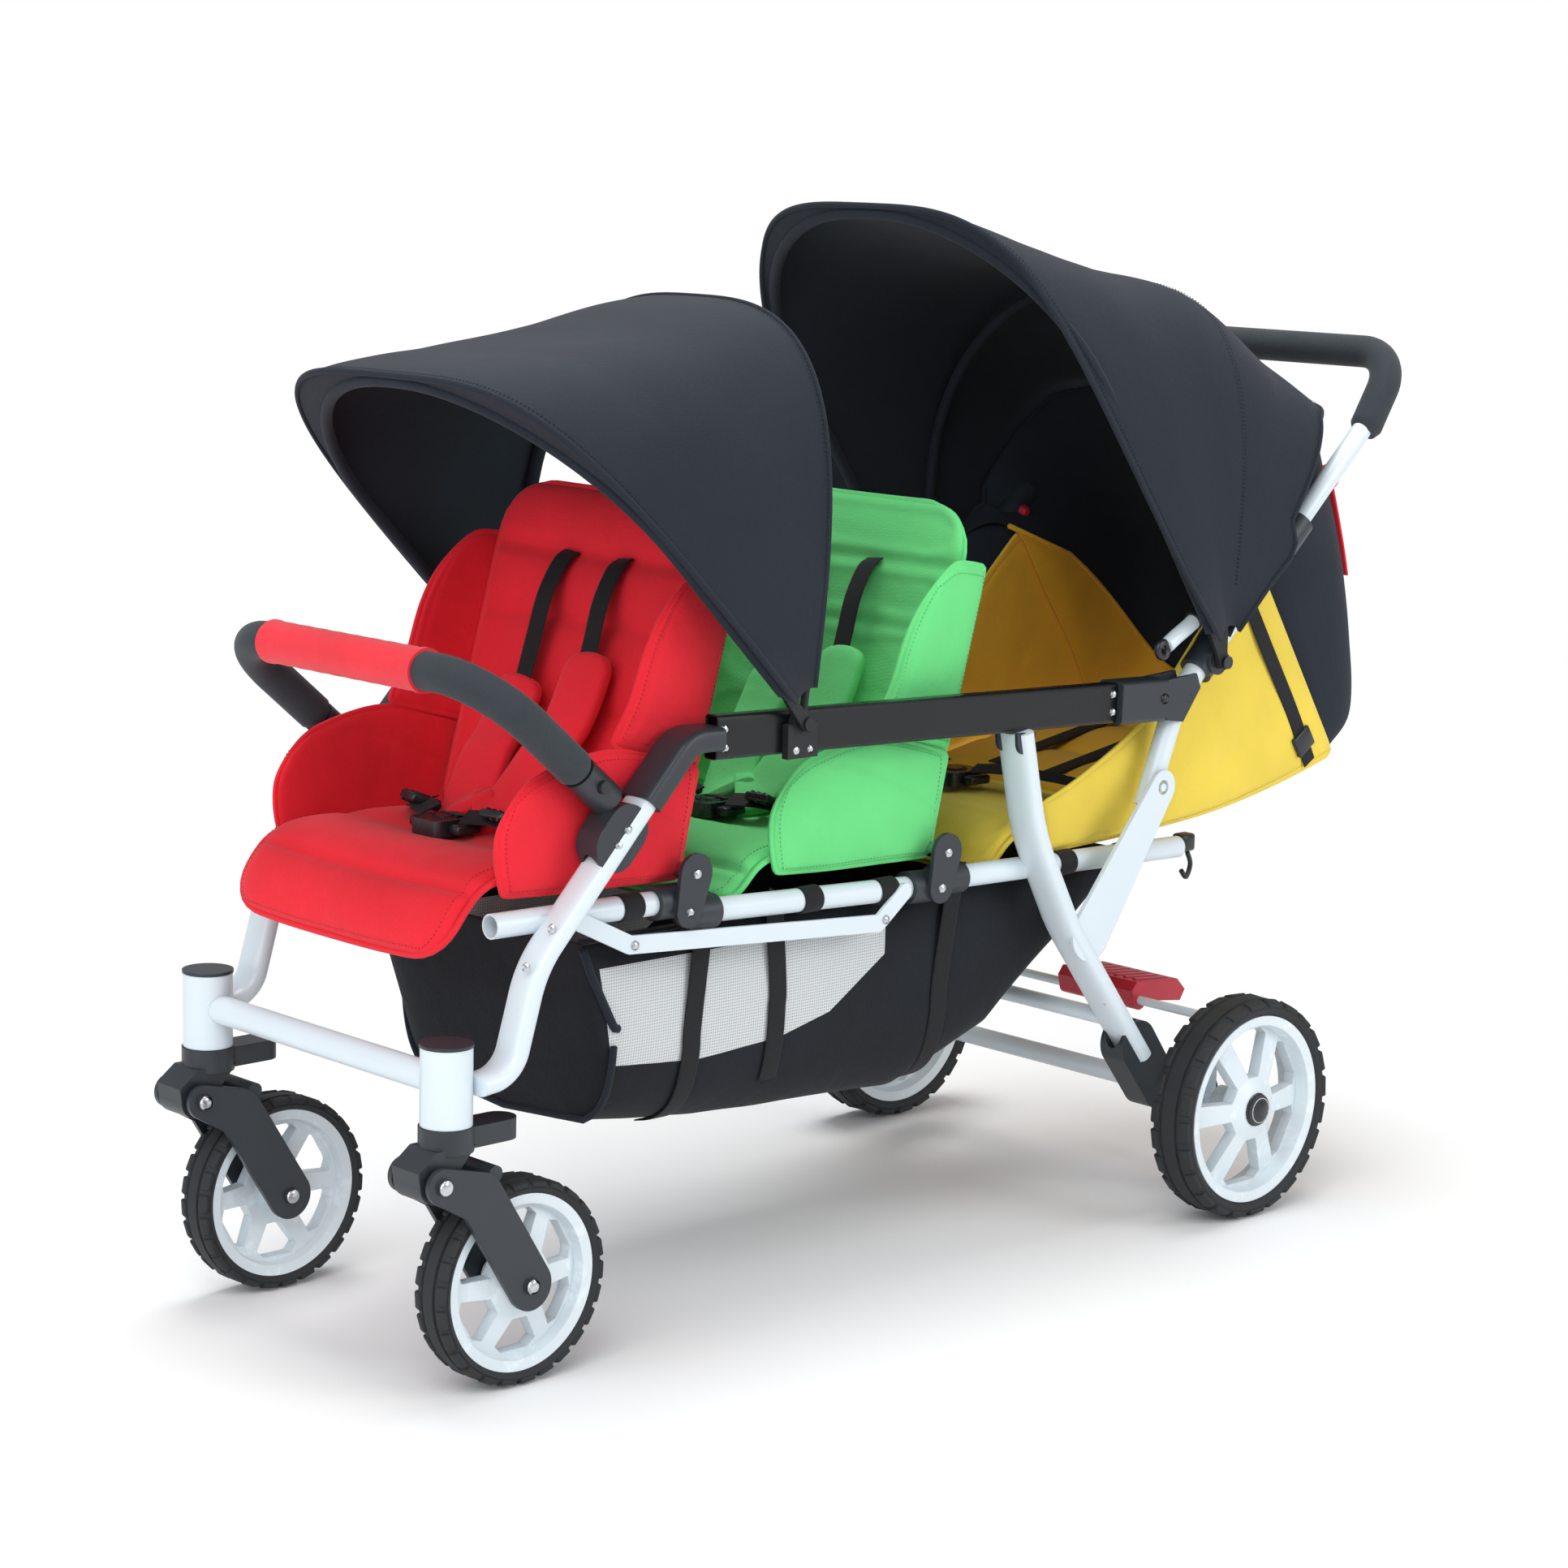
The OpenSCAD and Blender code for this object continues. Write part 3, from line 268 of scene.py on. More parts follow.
def bent(points, radii, steps=14):
    """Straight stretches with rounded corners."""
    out = [points[0]]
    for i in range(1, len(points) - 1):
        b = points[i]
        u, w = (points[i - 1] - b).normalized(), (points[i + 1] - b).normalized()
        half = u.angle(w) / 2
        centre = b + (u + w).normalized() * radii[i] / math.sin(half)
        cut = radii[i] / math.tan(half)
        e, g = b + u * cut - centre, b + w * cut - centre
        turn = e.angle(g)
        for k in range(steps + 1):
            t = k / steps
            out.append(centre + (e * math.sin((1 - t) * turn) + g * math.sin(t * turn)) / math.sin(turn))
    out.append(points[-1])
    return out


def u_path(foot, turn, half, reach, corner, start):
    """The line of a bent bar: up one side, across and down the other."""
    def side(s, along_bar):
        return at(foot[0] + along_bar * math.cos(turn), foot[1] + along_bar * math.sin(turn), s * half)
    points = [side(1, start), side(1, reach), side(-1, reach), side(-1, start)]
    return bent(points, [0, corner / 1000, corner / 1000, 0], 16)


def even(points, count):
    """The same line in equal steps."""
    reach = [0.0]
    for a, b in zip(points, points[1:]):
        reach.append(reach[-1] + (b - a).length)
    out, i = [], 0
    for k in range(count + 1):
        want = reach[-1] * k / count
        while i < len(points) - 2 and reach[i + 1] < want:
            i += 1
        span = max(reach[i + 1] - reach[i], 1e-9)
        out.append(points[i] + (points[i + 1] - points[i]) * ((want - reach[i]) / span))
    return out


def dense(points, step=0.006):
    """Adds points along long straight stretches."""
    out = []
    for a, b in zip(points, points[1:]):
        n = max(int((b - a).length / step), 1)
        out += [a + (b - a) * (k / n) for k in range(n)]
    return out + [points[-1]]


def soften(points, rounds=2):
    """Rounds the corners of a closed run."""
    for _ in range(rounds):
        n = len(points)
        points = [(points[i - 1] + points[i] * 2 + points[(i + 1) % n]) / 4 for i in range(n)]
    return points


def thin(points, least=0.002):
    """Leaves out points that lie closer together than the least step."""
    out = [points[0]]
    for p in points[1:]:
        if (p - out[-1]).length > least:
            out.append(p)
    if (out[-1] - out[0]).length < least:
        out.pop()
    return out


def circle(d, z, x, radius, count):
    """A ring of points square to the X axis, all in millimetres."""
    turns = (2 * math.pi * k / count for k in range(count))
    return [at(d + radius * math.cos(a), z + radius * math.sin(a), x) for a in turns]


def power(value, p):
    return math.copysign(abs(value) ** p, value)


def round_section(radius):
    return lambda a: (radius * math.cos(a), radius * math.sin(a))


def flat_section(width, height, p=0.35):
    """A rounded oblong, wide along the first axis."""
    return lambda a: (width / 2 * power(math.cos(a), p), height / 2 * power(math.sin(a), p))


def varying(section):
    """Marks a section that changes along its run."""
    section.varies = True
    return section


def tapered(radius, drop, rate):
    """A round section that narrows at both ends of its run."""
    return varying(lambda t: round_section(radius - drop * max(1 - min(t, 1 - t) * rate, 0) ** 2))


# Meshes


def loft(bm, path, section, guide, segments=20, closed=False):
    """Bridges rings along a path. A ring's y axis leans to the guide, and its x axis is square to both."""
    count = len(path)
    loops = []
    for i, p in enumerate(path):
        ahead = path[(i + 1) % count] if closed else path[min(i + 1, count - 1)]
        behind = path[i - 1] if closed else path[max(i - 1, 0)]
        t = (ahead - behind).normalized()
        g = guide(i) if callable(guide) else guide
        e = g.cross(t).normalized()
        f = t.cross(e)
        ring = bmesh.ops.create_circle(bm, segments=segments, radius=1.0)["verts"]
        shape = section(i / max(count - 1, 1)) if getattr(section, "varies", False) else section
        for k, v in enumerate(ring):
            x, y = shape(2 * math.pi * k / segments)
            v.co = p + e * x + f * y
        loops.append(list({edge for v in ring for edge in v.link_edges}))
    for a, b in zip(loops, loops[1:] + loops[:1] if closed else loops[1:]):
        bmesh.ops.bridge_loops(bm, edges=a + b)
    if not closed:
        for loop in (loops[0], loops[-1]):
            bmesh.ops.holes_fill(bm, edges=loop)


def piece(name, bm, look, body, sharp=None, merge=1e-6):
    """Closes a bmesh into an object that has its look and, if a body is given, rides on it."""
    if merge:
        bmesh.ops.remove_doubles(bm, verts=bm.verts, dist=merge)
    bmesh.ops.recalc_face_normals(bm, faces=bm.faces)
    mesh = bpy.data.meshes.new(name)
    bm.to_mesh(mesh)
    bm.free()
    finish, slot = look
    mesh.materials.append(bpy.data.materials[finish])
    for polygon in mesh.polygons:
        polygon.use_smooth = True
    if sharp:
        mesh.set_sharp_from_angle(angle=math.radians(sharp))
    obj = bpy.data.objects.new(name, mesh)
    bpy.context.scene.collection.objects.link(obj)
    if body:
        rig.ride(obj, body)
    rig.slot(obj, slot)
    return obj


def tube(name, path, section, guide, look, body, segments=24, sharp=50, closed=False):
    bm = bmesh.new()
    loft(bm, path, section, guide, segments, closed)
    return piece(name, bm, look, body, sharp)


def add_dome(bm, centre, axis, radius, height):
    """A low domed head, for rivets, bolts and studs."""
    place = Matrix.Translation(centre) @ axis.normalized().to_track_quat("Z", "Y").to_matrix().to_4x4()
    for wide, narrow, share, middle in ((1.0, 0.86, 0.6, 0.3), (0.86, 0.45, 0.4, 0.8)):
        bmesh.ops.create_cone(
            bm, cap_ends=True, segments=16, radius1=radius * wide, radius2=radius * narrow,
            depth=height * share, matrix=place @ Matrix.Translation((0, 0, height * middle)),
        )


def add_block(bm, size, place, bevel, segments=3):
    """A block with rounded edges."""
    made = bmesh.ops.create_cube(bm, size=1.0, matrix=place @ Matrix.Diagonal((*size, 1.0)))
    edges = list({e for v in made["verts"] for e in v.link_edges})
    bmesh.ops.bevel(bm, geom=edges, offset=bevel, offset_type="OFFSET", affect="EDGES", segments=segments,
                    profile=0.5, material=-1)


# Sewn panels, each a surface(u, v) with u and v from 0 to 1

SEAM_DEPTH = 0.62
NORMAL_STEP = 0.012
FLAT_EDGE = 0.02
STITCH_LENGTH, STITCH_WIDTH, STITCH_HEIGHT, STITCH_LIFT = 0.0026, 0.0009, 0.0008, 0.0004
TAPE_THICK, TAPE_INSET, TAPE_STEP = 0.0046, 0.36, 0.003
BORDER_STEPS = 28


def sheet_grid(nu, nv):
    """A grid with u and v in its x and y."""
    bm = bmesh.new()
    bmesh.ops.create_grid(bm, x_segments=nu, y_segments=nv, size=0.5)
    for v in bm.verts:
        v.co = Vector((v.co.x + 0.5, v.co.y + 0.5, 0))
    return bm


def normal_of(surface, u, v):
    e = NORMAL_STEP
    a = surface(min(u + e, 1), v) - surface(max(u - e, 0), v)
    b = surface(u, min(v + e, 1)) - surface(u, max(v - e, 0))
    n = a.cross(b)
    return n.normalized() if n.length > 1e-12 else Vector((0, 0, 1))


def creases(p, seed, broad, fine):
    """Soft unevenness of cloth at a point, coarse and fine."""
    return noise.noise(p * broad + Vector((seed, 0, 0))) + 0.5 * noise.noise(p * fine + Vector((0, seed, 0)))


def fill_of(a, b, edge, seams):
    """How full a quilted panel is at a spot, its distance from the border and how far seams draw it in."""
    rim = max(1 - abs(2 * a - 1) ** edge, 0) * max(1 - abs(2 * b - 1) ** edge, 0)
    drawn = max((line(a, b) for line in seams), default=0.0)
    return math.sqrt(rim) * (1 - SEAM_DEPTH * drawn), rim, drawn


def quilt(name, surface, nu, nv, front, back, look, body, seams=(), wrinkle=0.0, seed=0.0, stuffing=0.0,
          edge=8):
    """A padded panel: crowned on both faces, drawn in at its border and its sewn lines."""
    bm = sheet_grid(nu, nv)
    sewn = bm.verts.layers.float.new("sewn_weight")
    upper = {v: (v.co.x, v.co.y) for v in bm.verts}
    twin = bmesh.ops.duplicate(bm, geom=bm.verts[:] + bm.edges[:] + bm.faces[:])
    lower = {g: (g.co.x, g.co.y) for g in twin["geom"] if isinstance(g, bmesh.types.BMVert)}
    for layer, depth in ((upper, front), (lower, -back)):
        for v, (a, b) in layer.items():
            full, rim, drawn = fill_of(a, b, edge, seams)
            base = surface(a, b)
            uneven = wrinkle * creases(base, seed, 14, 37) * math.sqrt(rim) * (1 if depth > 0 else -1)
            v.co = base + normal_of(surface, a, b) * (depth * full + uneven)
            v[sewn] = 1.0 if rim < FLAT_EDGE else max(drawn, 0.97 if depth < 0 else 0.0)
    made = piece(name, bm, look, None, merge=2e-5)
    if stuffing:
        stuff(made, stuffing)
    level = made.modifiers.new("smooth", "SUBSURF")
    level.levels = level.render_levels = 1
    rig.padded(made, 0.6)
    if body:
        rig.ride(made, body)
    return made


def stuff(obj, cap, pressure=4.0, frames=18):
    """Blows a sewn pad up with cloth under pressure, held at its seams, and keeps the result."""
    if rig.quick():
        return
    scene = bpy.context.scene
    mesh = obj.data
    group = obj.vertex_groups.new(name="sewn")
    for i, weight in enumerate(mesh.attributes["sewn_weight"].data):
        group.add([i], weight.value, "REPLACE")
    cloth = obj.modifiers.new("stuffing", "CLOTH")
    cloth.settings.quality = 4
    cloth.settings.mass = 0.25
    cloth.settings.use_pressure = True
    cloth.settings.uniform_pressure_force = pressure
    cloth.settings.effector_weights.gravity = 0.0
    cloth.settings.vertex_group_mass = "sewn"
    cloth.settings.pin_stiffness = 1.0
    cloth.settings.bending_stiffness = 0.4
    cloth.collision_settings.use_collision = False
    cloth.point_cache.frame_start = 1
    cloth.point_cache.frame_end = frames
    for f in range(1, frames + 1):
        scene.frame_set(f)
    moved = [v.co.copy() for v in obj.evaluated_get(bpy.context.evaluated_depsgraph_get()).data.vertices]
    obj.modifiers.remove(cloth)
    scene.frame_set(1)
    for v, there in zip(mesh.vertices, moved):
        step = there - v.co
        if step.length > cap:
            step *= cap / step.length
        v.co += step
    mesh.update()


def across(at_v, width=0.035, depth=1.0):
    """A sewn line across a panel."""
    return lambda a, b: depth * math.exp(-(((b - at_v) / width) ** 2))


def down(at_u, width=0.035, depth=1.0, low=0.0, high=1.0):
    """A sewn line along a panel."""
    return lambda a, b: depth * math.exp(-(((a - at_u) / width) ** 2)) if low <= b <= high else 0.0


def tuft(u, v, width, height, depth=1.0):
    """A tuft that draws one spot of a panel in."""
    return lambda a, b: depth * math.exp(-(((a - u) / width) ** 2) - ((b - v) / height) ** 2)


def rim_spots(steps, inset=0.0):
    """Places once round a panel, drawn in from its border by the inset."""
    low, high = inset, 1 - inset
    up, back = ([mix(a, b, k / steps) for k in range(steps)] for a, b in ((low, high), (high, low)))
    there = [(k, low) for k in up] + [(high, k) for k in up]
    return there + [(k, high) for k in back] + [(low, k) for k in back]


def border(surface):
    """The border of a panel as a closed run of points."""
    return [surface(u, v) for u, v in rim_spots(BORDER_STEPS)]


def rounded(u, v, k):
    """Draws the corner at (1, 1) of the unit square in to a round one that starts k short of it."""
    if u <= 1 - k or v <= 1 - k:
        return u, v
    a, b = (u - 1 + k) / k, (v - 1 + k) / k
    return 1 - k + k * a * math.sqrt(1 - b * b / 2), 1 - k + k * b * math.sqrt(1 - a * a / 2)


def piping(name, points, radius, look, body, closed=True):
    """A thin corded edge."""
    path = thin(soften(points) if closed else points)
    middle = sum(path, Vector()) / len(path)

    def outward(i):
        return (path[i] - middle + Vector((0.001, 0.002, 0.003))).normalized()

    return tube(name, path, round_section(radius), outward, look, body, 8, None, closed)


def binding(name, surface, width, look, body):
    """A flat folded tape sewn over the border of a panel."""
    inner = [(min(max(u, 0.04), 0.96), min(max(v, 0.04), 0.96)) for u, v in rim_spots(BORDER_STEPS)]
    path = soften(border(surface))
    faces = soften([normal_of(surface, u, v) for u, v in inner], 4)
    keep = [0]
    for i in range(1, len(path)):
        if (path[i] - path[keep[-1]]).length > TAPE_STEP:
            keep.append(i)
    path, faces = [path[i] for i in keep], [faces[i] for i in keep]
    middle = surface(0.5, 0.5)
    moved = []
    for i, p in enumerate(path):
        inward = faces[i].cross(path[(i + 1) % len(path)] - path[i - 1]).normalized()
        moved.append(p + inward * math.copysign(width * TAPE_INSET, inward.dot(middle - p)))
    return tube(name, moved, flat_section(width, TAPE_THICK, 0.6), lambda i: faces[i], look, body, 14, None,
                True)


def strap(name, points, width, thick, normal, look, body, count=40):
    """Flat webbing along a smooth run, its face towards the normal."""
    return tube(name, spline(points, count), flat_section(width, thick), normal, look, body, 12, 60)


def stitches(name, points, normal, look, body, pitch, closed=False):
    """A row of short raised thread stitches along a run."""
    bm = bmesh.new()
    size = Matrix.Diagonal((STITCH_LENGTH, STITCH_WIDTH, STITCH_HEIGHT, 1))
    run = points + points[:1] if closed else points
    spare = 0.0
    for i, (a, b) in enumerate(zip(run, run[1:])):
        step = b - a
        reach = step.length
        if reach < 1e-6:
            continue
        t = step / reach
        n = normal(i) if callable(normal) else normal
        e = n.cross(t)
        if e.length < 1e-6:
            continue
        e.normalize()
        turn = Matrix((t, e, t.cross(e))).transposed().to_4x4()
        s = spare
        while s < reach:
            place = Matrix.Translation(a + t * s + n * STITCH_LIFT) @ turn
            bmesh.ops.create_icosphere(bm, subdivisions=1, radius=0.5, matrix=place @ size)
            s += pitch
        spare = s - reach
    return piece(name, bm, look, body, merge=0)


def run_length(points):
    return sum((b - a).length for a, b in zip(points, points[1:]))


def cut_size(surface, steps=60):
    """The width and length that a sheet is cut to: its longest runs both ways."""
    grid = [[surface(i / steps, j / steps) for i in range(steps + 1)] for j in range(steps + 1)]
    return max(run_length(row) for row in grid), max(run_length(column) for column in zip(*grid))


def cloth_sheet(name, surface, nu, nv, thick, look, held, rests_on, wrinkle=0.0, seed=0.0, taut=(),
                flat=None):
    """A sheet of cloth, wrinkled except where it is taut, and given its thickness."""
    bm = sheet_grid(nu, nv)
    for v in bm.verts:
        a, b = v.co.x, v.co.y
        p = surface(a, b)
        rim = min(1.0, 12 * min(a, 1 - a, b, 1 - b, *(abs(b - t) for t in taut)))
        v.co = p + normal_of(surface, a, b) * wrinkle * creases(p, seed, 6, 17) * rim
    flat = flat or cut_size(surface)
    area = sum(f.calc_area() for f in bm.faces)
    made = piece(name, bm, look, None, merge=1e-5)
    solid = made.modifiers.new("cloth", "SOLIDIFY")
    solid.thickness = thick
    solid.offset = 0.0
    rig.sheet(made, flat=flat, held=held, rests_on=rests_on, area=min(area, flat[0] * flat[1]))
    return made


def edge_run(surface, v, steps):
    """The line along a surface at one v."""
    return [surface(k / steps, v) for k in range(steps + 1)]


# Finishes


class Socket:
    """A shader output that takes part in Python sums."""

    def __init__(self, finish, out):
        self.finish = finish
        self.out = out

    def sum(self, operation, other, swapped=False):
        pair = (other, self) if swapped else (self, other)
        return self.finish.node("ShaderNodeMath", {"operation": operation}, {0: pair[0], 1: pair[1]})

    def __add__(self, other):
        return self.sum("ADD", other)

    def __radd__(self, other):
        return self.sum("ADD", other, True)

    def __sub__(self, other):
        return self.sum("SUBTRACT", other)

    def __rsub__(self, other):
        return self.sum("SUBTRACT", other, True)

    def __mul__(self, other):
        return self.sum("MULTIPLY", other)

    def __rmul__(self, other):
        return self.sum("MULTIPLY", other, True)

    def __truediv__(self, other):
        return self.sum("DIVIDE", other)

    def __pow__(self, other):
        return self.sum("POWER", other)


class Finish:
    """A material with one principled shader, built from expressions."""

    def __init__(self, name, **constants):
        self.material = bpy.data.materials.new(name)
        self.material.use_nodes = True
        self.tree = self.material.node_tree
        self.shader = next(n for n in self.tree.nodes if n.type == "BSDF_PRINCIPLED")
        for key, value in constants.items():
            self.shader.inputs[key.replace("_", " ").title().replace("Ior", "IOR")].default_value = value
        self.place = self.node("ShaderNodeTexCoord", {}, {}, "Object")

    def node(self, kind, settings, inputs, out=0):
        made = self.tree.nodes.new(kind)
        for key, value in settings.items():
            setattr(made, key, value)
        for key, value in inputs.items():
            self.feed(made.inputs[key], value)
        return Socket(self, made.outputs[out])

    def feed(self, socket, value):
        if isinstance(value, Socket):
            self.tree.links.new(value.out, socket)
        else:
            socket.default_value = value

    def set(self, name, value):
        self.feed(self.shader.inputs[name], value)

    def noise(self, scale, detail=3.0, rough=0.5):
        inputs = {"Vector": self.place, "Scale": scale, "Detail": detail, "Roughness": rough}
        return self.node("ShaderNodeTexNoise", {}, inputs)

    def bands(self, scale, direction, distortion=0.0):
        settings = {"wave_type": "BANDS", "bands_direction": direction, "wave_profile": "SIN"}
        inputs = {"Vector": self.place, "Scale": scale, "Distortion": distortion, "Detail": 0.0}
        return self.node("ShaderNodeTexWave", settings, inputs, "Fac")

    def mix(self, fac, a, b):
        return self.node("ShaderNodeMix", {"data_type": "RGBA"}, {0: fac, 6: a, 7: b}, 2)

    def clamp(self, value, low, high):
        return self.node("ShaderNodeMapRange", {}, {"Value": value, "From Min": low, "From Max": high})

    def bump(self, height, strength, distance, normal=None):
        inputs = {"Height": height, "Strength": strength, "Distance": distance}
        if normal:
            inputs["Normal"] = normal
        self.set("Normal", self.node("ShaderNodeBump", {}, inputs))

    def edge(self, radius):
        """Rounded edges for a solid whose edges are sharp."""
        return self.node("ShaderNodeBevel", {"samples": 4}, {"Radius": radius})


def shade(colour, k):
    return (colour[0] * k, colour[1] * k, colour[2] * k, 1.0)


def cloth_finish(name, colour, weave, fold=1.0, sheen=0.12, rough=0.82, inner=None):
    """Woven cloth: a fine plain weave, soft creases, painted fold shade in random blotches and, if given, painted
    shade in an inner colour on inward-facing faces.
    """
    f = Finish(name, roughness=rough, sheen_weight=sheen, sheen_roughness=0.45, specular_ior_level=0.3)
    # Painted shade: random darker and lighter blotches in the cloth colour stand in for the shade of soft folds
    painted_fold_shade = f.clamp(f.noise(9.0, 4.0), 0.3, 0.72)
    threads = (f.bands(weave, "X") + f.bands(weave, "Y") + f.bands(weave, "Z")) * 0.33
    slub = f.noise(420.0, 2.0)
    base = f.mix(painted_fold_shade, shade(colour, 0.9), shade(colour, 1.04))
    # Painted shade: faces whose true normal points towards the middle take the inner colour, a warmer, deeper tone
    # standing in for the warm shade inside a seat
    if inner:
        normal = f.node("ShaderNodeNewGeometry", {}, {}, "True Normal")
        facing = f.node("ShaderNodeSeparateXYZ", {}, {0: normal}, "X")
        sideways = f.node("ShaderNodeSeparateXYZ", {}, {0: f.place}, "X")
        base = f.mix(f.clamp(facing * sideways, -0.02, -0.12), base, shade(inner, 1.0))
    f.set("Base Color", base)
    f.set("Roughness", rough - 0.08 + slub * 0.12)
    f.bump(threads * 0.10 + slub * 0.10 + f.noise(26.0, 4.0, 0.6) * fold, 0.5, 0.0035)
    return f.material


def webbing_finish(name, colour):
    """Narrow woven webbing with a herringbone face."""
    f = Finish(name, roughness=0.75, sheen_weight=0.06, specular_ior_level=0.3)
    rib = f.bands(330.0, "DIAGONAL") * f.bands(210.0, "Z")
    f.set("Base Color", f.mix(rib, shade(colour, 0.75), shade(colour, 1.35)))
    f.set("Roughness", 0.62 + rib * 0.25)
    f.bump(rib + f.noise(300.0) * 0.4, 0.6, 0.0008)
    return f.material


def paint_finish(name, colour):
    """Powder coat on tube: faint orange peel under a thin gloss."""
    f = Finish(name, roughness=0.34, coat_weight=0.25, coat_roughness=0.12)
    tone = f.noise(6.0, 3.0)
    f.set("Base Color", f.mix(tone, shade(colour, 0.95), shade(colour, 1.02)))
    f.set("Roughness", 0.3 + f.noise(60.0) * 0.1)
    f.bump(f.noise(900.0, 2.0), 0.12, 0.0004, f.edge(0.0012))
    return f.material


def plastic_finish(name, colour, rough, grain=1.0, radius=0.0014):
    """Moulded plastic with a spark-eroded grain, rubbed paler along its edges."""
    f = Finish(name, roughness=rough)
    scuff = f.clamp(f.noise(38.0, 5.0, 0.7), 0.55, 0.85)
    f.set("Base Color", f.mix(scuff, shade(colour, 1.0), shade(colour, 1.35)))
    f.set("Roughness", rough - 0.06 + scuff * 0.14 + f.noise(700.0) * 0.06)
    f.bump(f.noise(1500.0, 2.0), 0.25 * grain, 0.0005, f.edge(radius))
    return f.material


def rail_finish(name, colour):
    """Black anodised rail: a satin gloss with fine lengthwise draw lines."""
    f = Finish(name, roughness=0.28, coat_weight=0.1, coat_roughness=0.15, specular_ior_level=0.35)
    lines = f.bands(900.0, "Z", 1.5)
    f.set("Base Color", f.mix(f.noise(12.0), shade(colour, 0.85), shade(colour, 1.3)))
    f.set("Roughness", 0.22 + lines * 0.08 + f.noise(45.0) * 0.1)
    f.bump(lines * 0.3 + f.noise(800.0), 0.08, 0.0003, f.edge(0.004))
    return f.material


def foam_finish(name, colour):
    """Closed-cell foam: fine cells over soft dimples."""
    f = Finish(name, roughness=0.88, sheen_weight=0.1)
    cells = f.node("ShaderNodeTexVoronoi", {}, {"Vector": f.place, "Scale": 620.0}, "Distance")
    dents = f.noise(32.0, 4.0, 0.6)
    f.set("Base Color", f.mix(dents, shade(colour, 0.82), shade(colour, 1.15)))
    f.set("Roughness", 0.8 + cells * 0.15)
    f.bump(cells * 0.45 + dents * 0.9, 0.35, 0.0016)
    return f.material


def rubber_finish(name, colour):
    """Tyre rubber with a dusty bloom and fine mould grain."""
    f = Finish(name, roughness=0.8)
    dust = f.clamp(f.noise(24.0, 5.0, 0.65), 0.4, 0.8)
    f.set("Base Color", f.mix(dust, shade(colour, 0.85), shade(colour, 1.5)))
    f.set("Roughness", 0.7 + dust * 0.2)
    f.bump(f.noise(1100.0, 2.0), 0.3, 0.0005)
    return f.material


def metal_finish(name, colour, rough):
    """Plated steel with fine polishing marks."""
    f = Finish(name, metallic=1.0, roughness=rough)
    marks = f.noise(260.0, 3.0)
    f.set("Base Color", f.mix(marks, shade(colour, 0.85), shade(colour, 1.0)))
    f.set("Roughness", rough * 0.7 + marks * rough * 0.6)
    f.bump(marks, 0.06, 0.0003, f.edge(0.0008))
    return f.material


def basket_finish(name, colour, net_colour):
    """Black basket cloth with a net window in each side wall."""
    f = Finish(name, roughness=0.85, sheen_weight=0.05, specular_ior_level=0.3)
    spot = f.node("ShaderNodeSeparateXYZ", {}, {0: f.place}, 0)
    parts = spot.out.node.outputs
    x, y, z = (Socket(f, parts[k]) for k in range(3))
    inside = f.node("ShaderNodeMath", {"operation": "GREATER_THAN"}, {0: x * x, 1: 0.125**2})
    for (d0, z0), (d1, z1) in zip(NET_WINDOW, NET_WINDOW[1:] + NET_WINDOW[:1]):
        a, b = at(d0, z0), at(d1, z1)
        edge = (y - a.y) * (b.z - a.z) - (z - a.z) * (b.y - a.y)
        inside = inside * f.node("ShaderNodeMath", {"operation": "LESS_THAN"}, {0: edge, 1: 0.0})
    thread = f.clamp(f.bands(105.0, "Y") * f.bands(105.0, "Z"), 0.6, 0.4)
    slub = f.noise(380.0, 2.0)
    # Painted shade: random darker and lighter blotches in the black cloth stand in for the shade of soft folds
    painted_fold_shade = f.clamp(f.noise(8.0, 4.0), 0.3, 0.7)
    black = f.mix(painted_fold_shade, shade(colour, 0.85), shade(colour, 1.2))
    f.set("Base Color", f.mix(inside, black, shade(net_colour, 1.0)))
    f.set("Alpha", 1 - inside * (1 - thread) * 0.55)
    f.set("Roughness", 0.78 + slub * 0.14)
    f.bump(slub * 0.25 + f.noise(30.0, 4.0, 0.6), 0.45, 0.003)
    return f.material


def srgb(r, g, b):
    """A colour as it looks on a screen, in linear light."""
    return tuple(((c / 255 + 0.055) / 1.055) ** 2.4 if c > 10 else c / 255 / 12.92 for c in (r, g, b))


NET_WINDOW = [(126, 374), (148, 274), (259, 264), (368, 270), (436, 286), (512, 336), (512, 374)]


def tinted(colour, factors):
    return tuple(v * k for v, k in zip(colour, factors))


# What a user would change


def colour_prop(name, description, *screen):
    return FloatVectorProperty(name=name, description=description, subtype="COLOR", size=3, min=0, max=1,
                               default=srgb(*screen))


def length_prop(name, description, default, low, high):
    return FloatProperty(name=name, description=description, subtype="DISTANCE", unit="LENGTH",
                         default=default, min=low, max=high)


class StrollerColours(bpy.types.PropertyGroup):
    """Colours of the cloth and the frame"""

    front_seat: colour_prop("Front seat", "Cloth of the front seat", 226, 30, 46)
    middle_seat: colour_prop("Middle seat", "Cloth of the middle seat", 104, 216, 128)
    rear_seat: colour_prop("Rear seat", "Cloth of the rear seat", 236, 208, 78)
    cover: colour_prop("Canopies", "Cloth of the canopies and the wall behind the rear seat", 27, 34, 45)
    tubes: colour_prop("Frame tubes", "Powder coat of the tubes", 214, 225, 232)


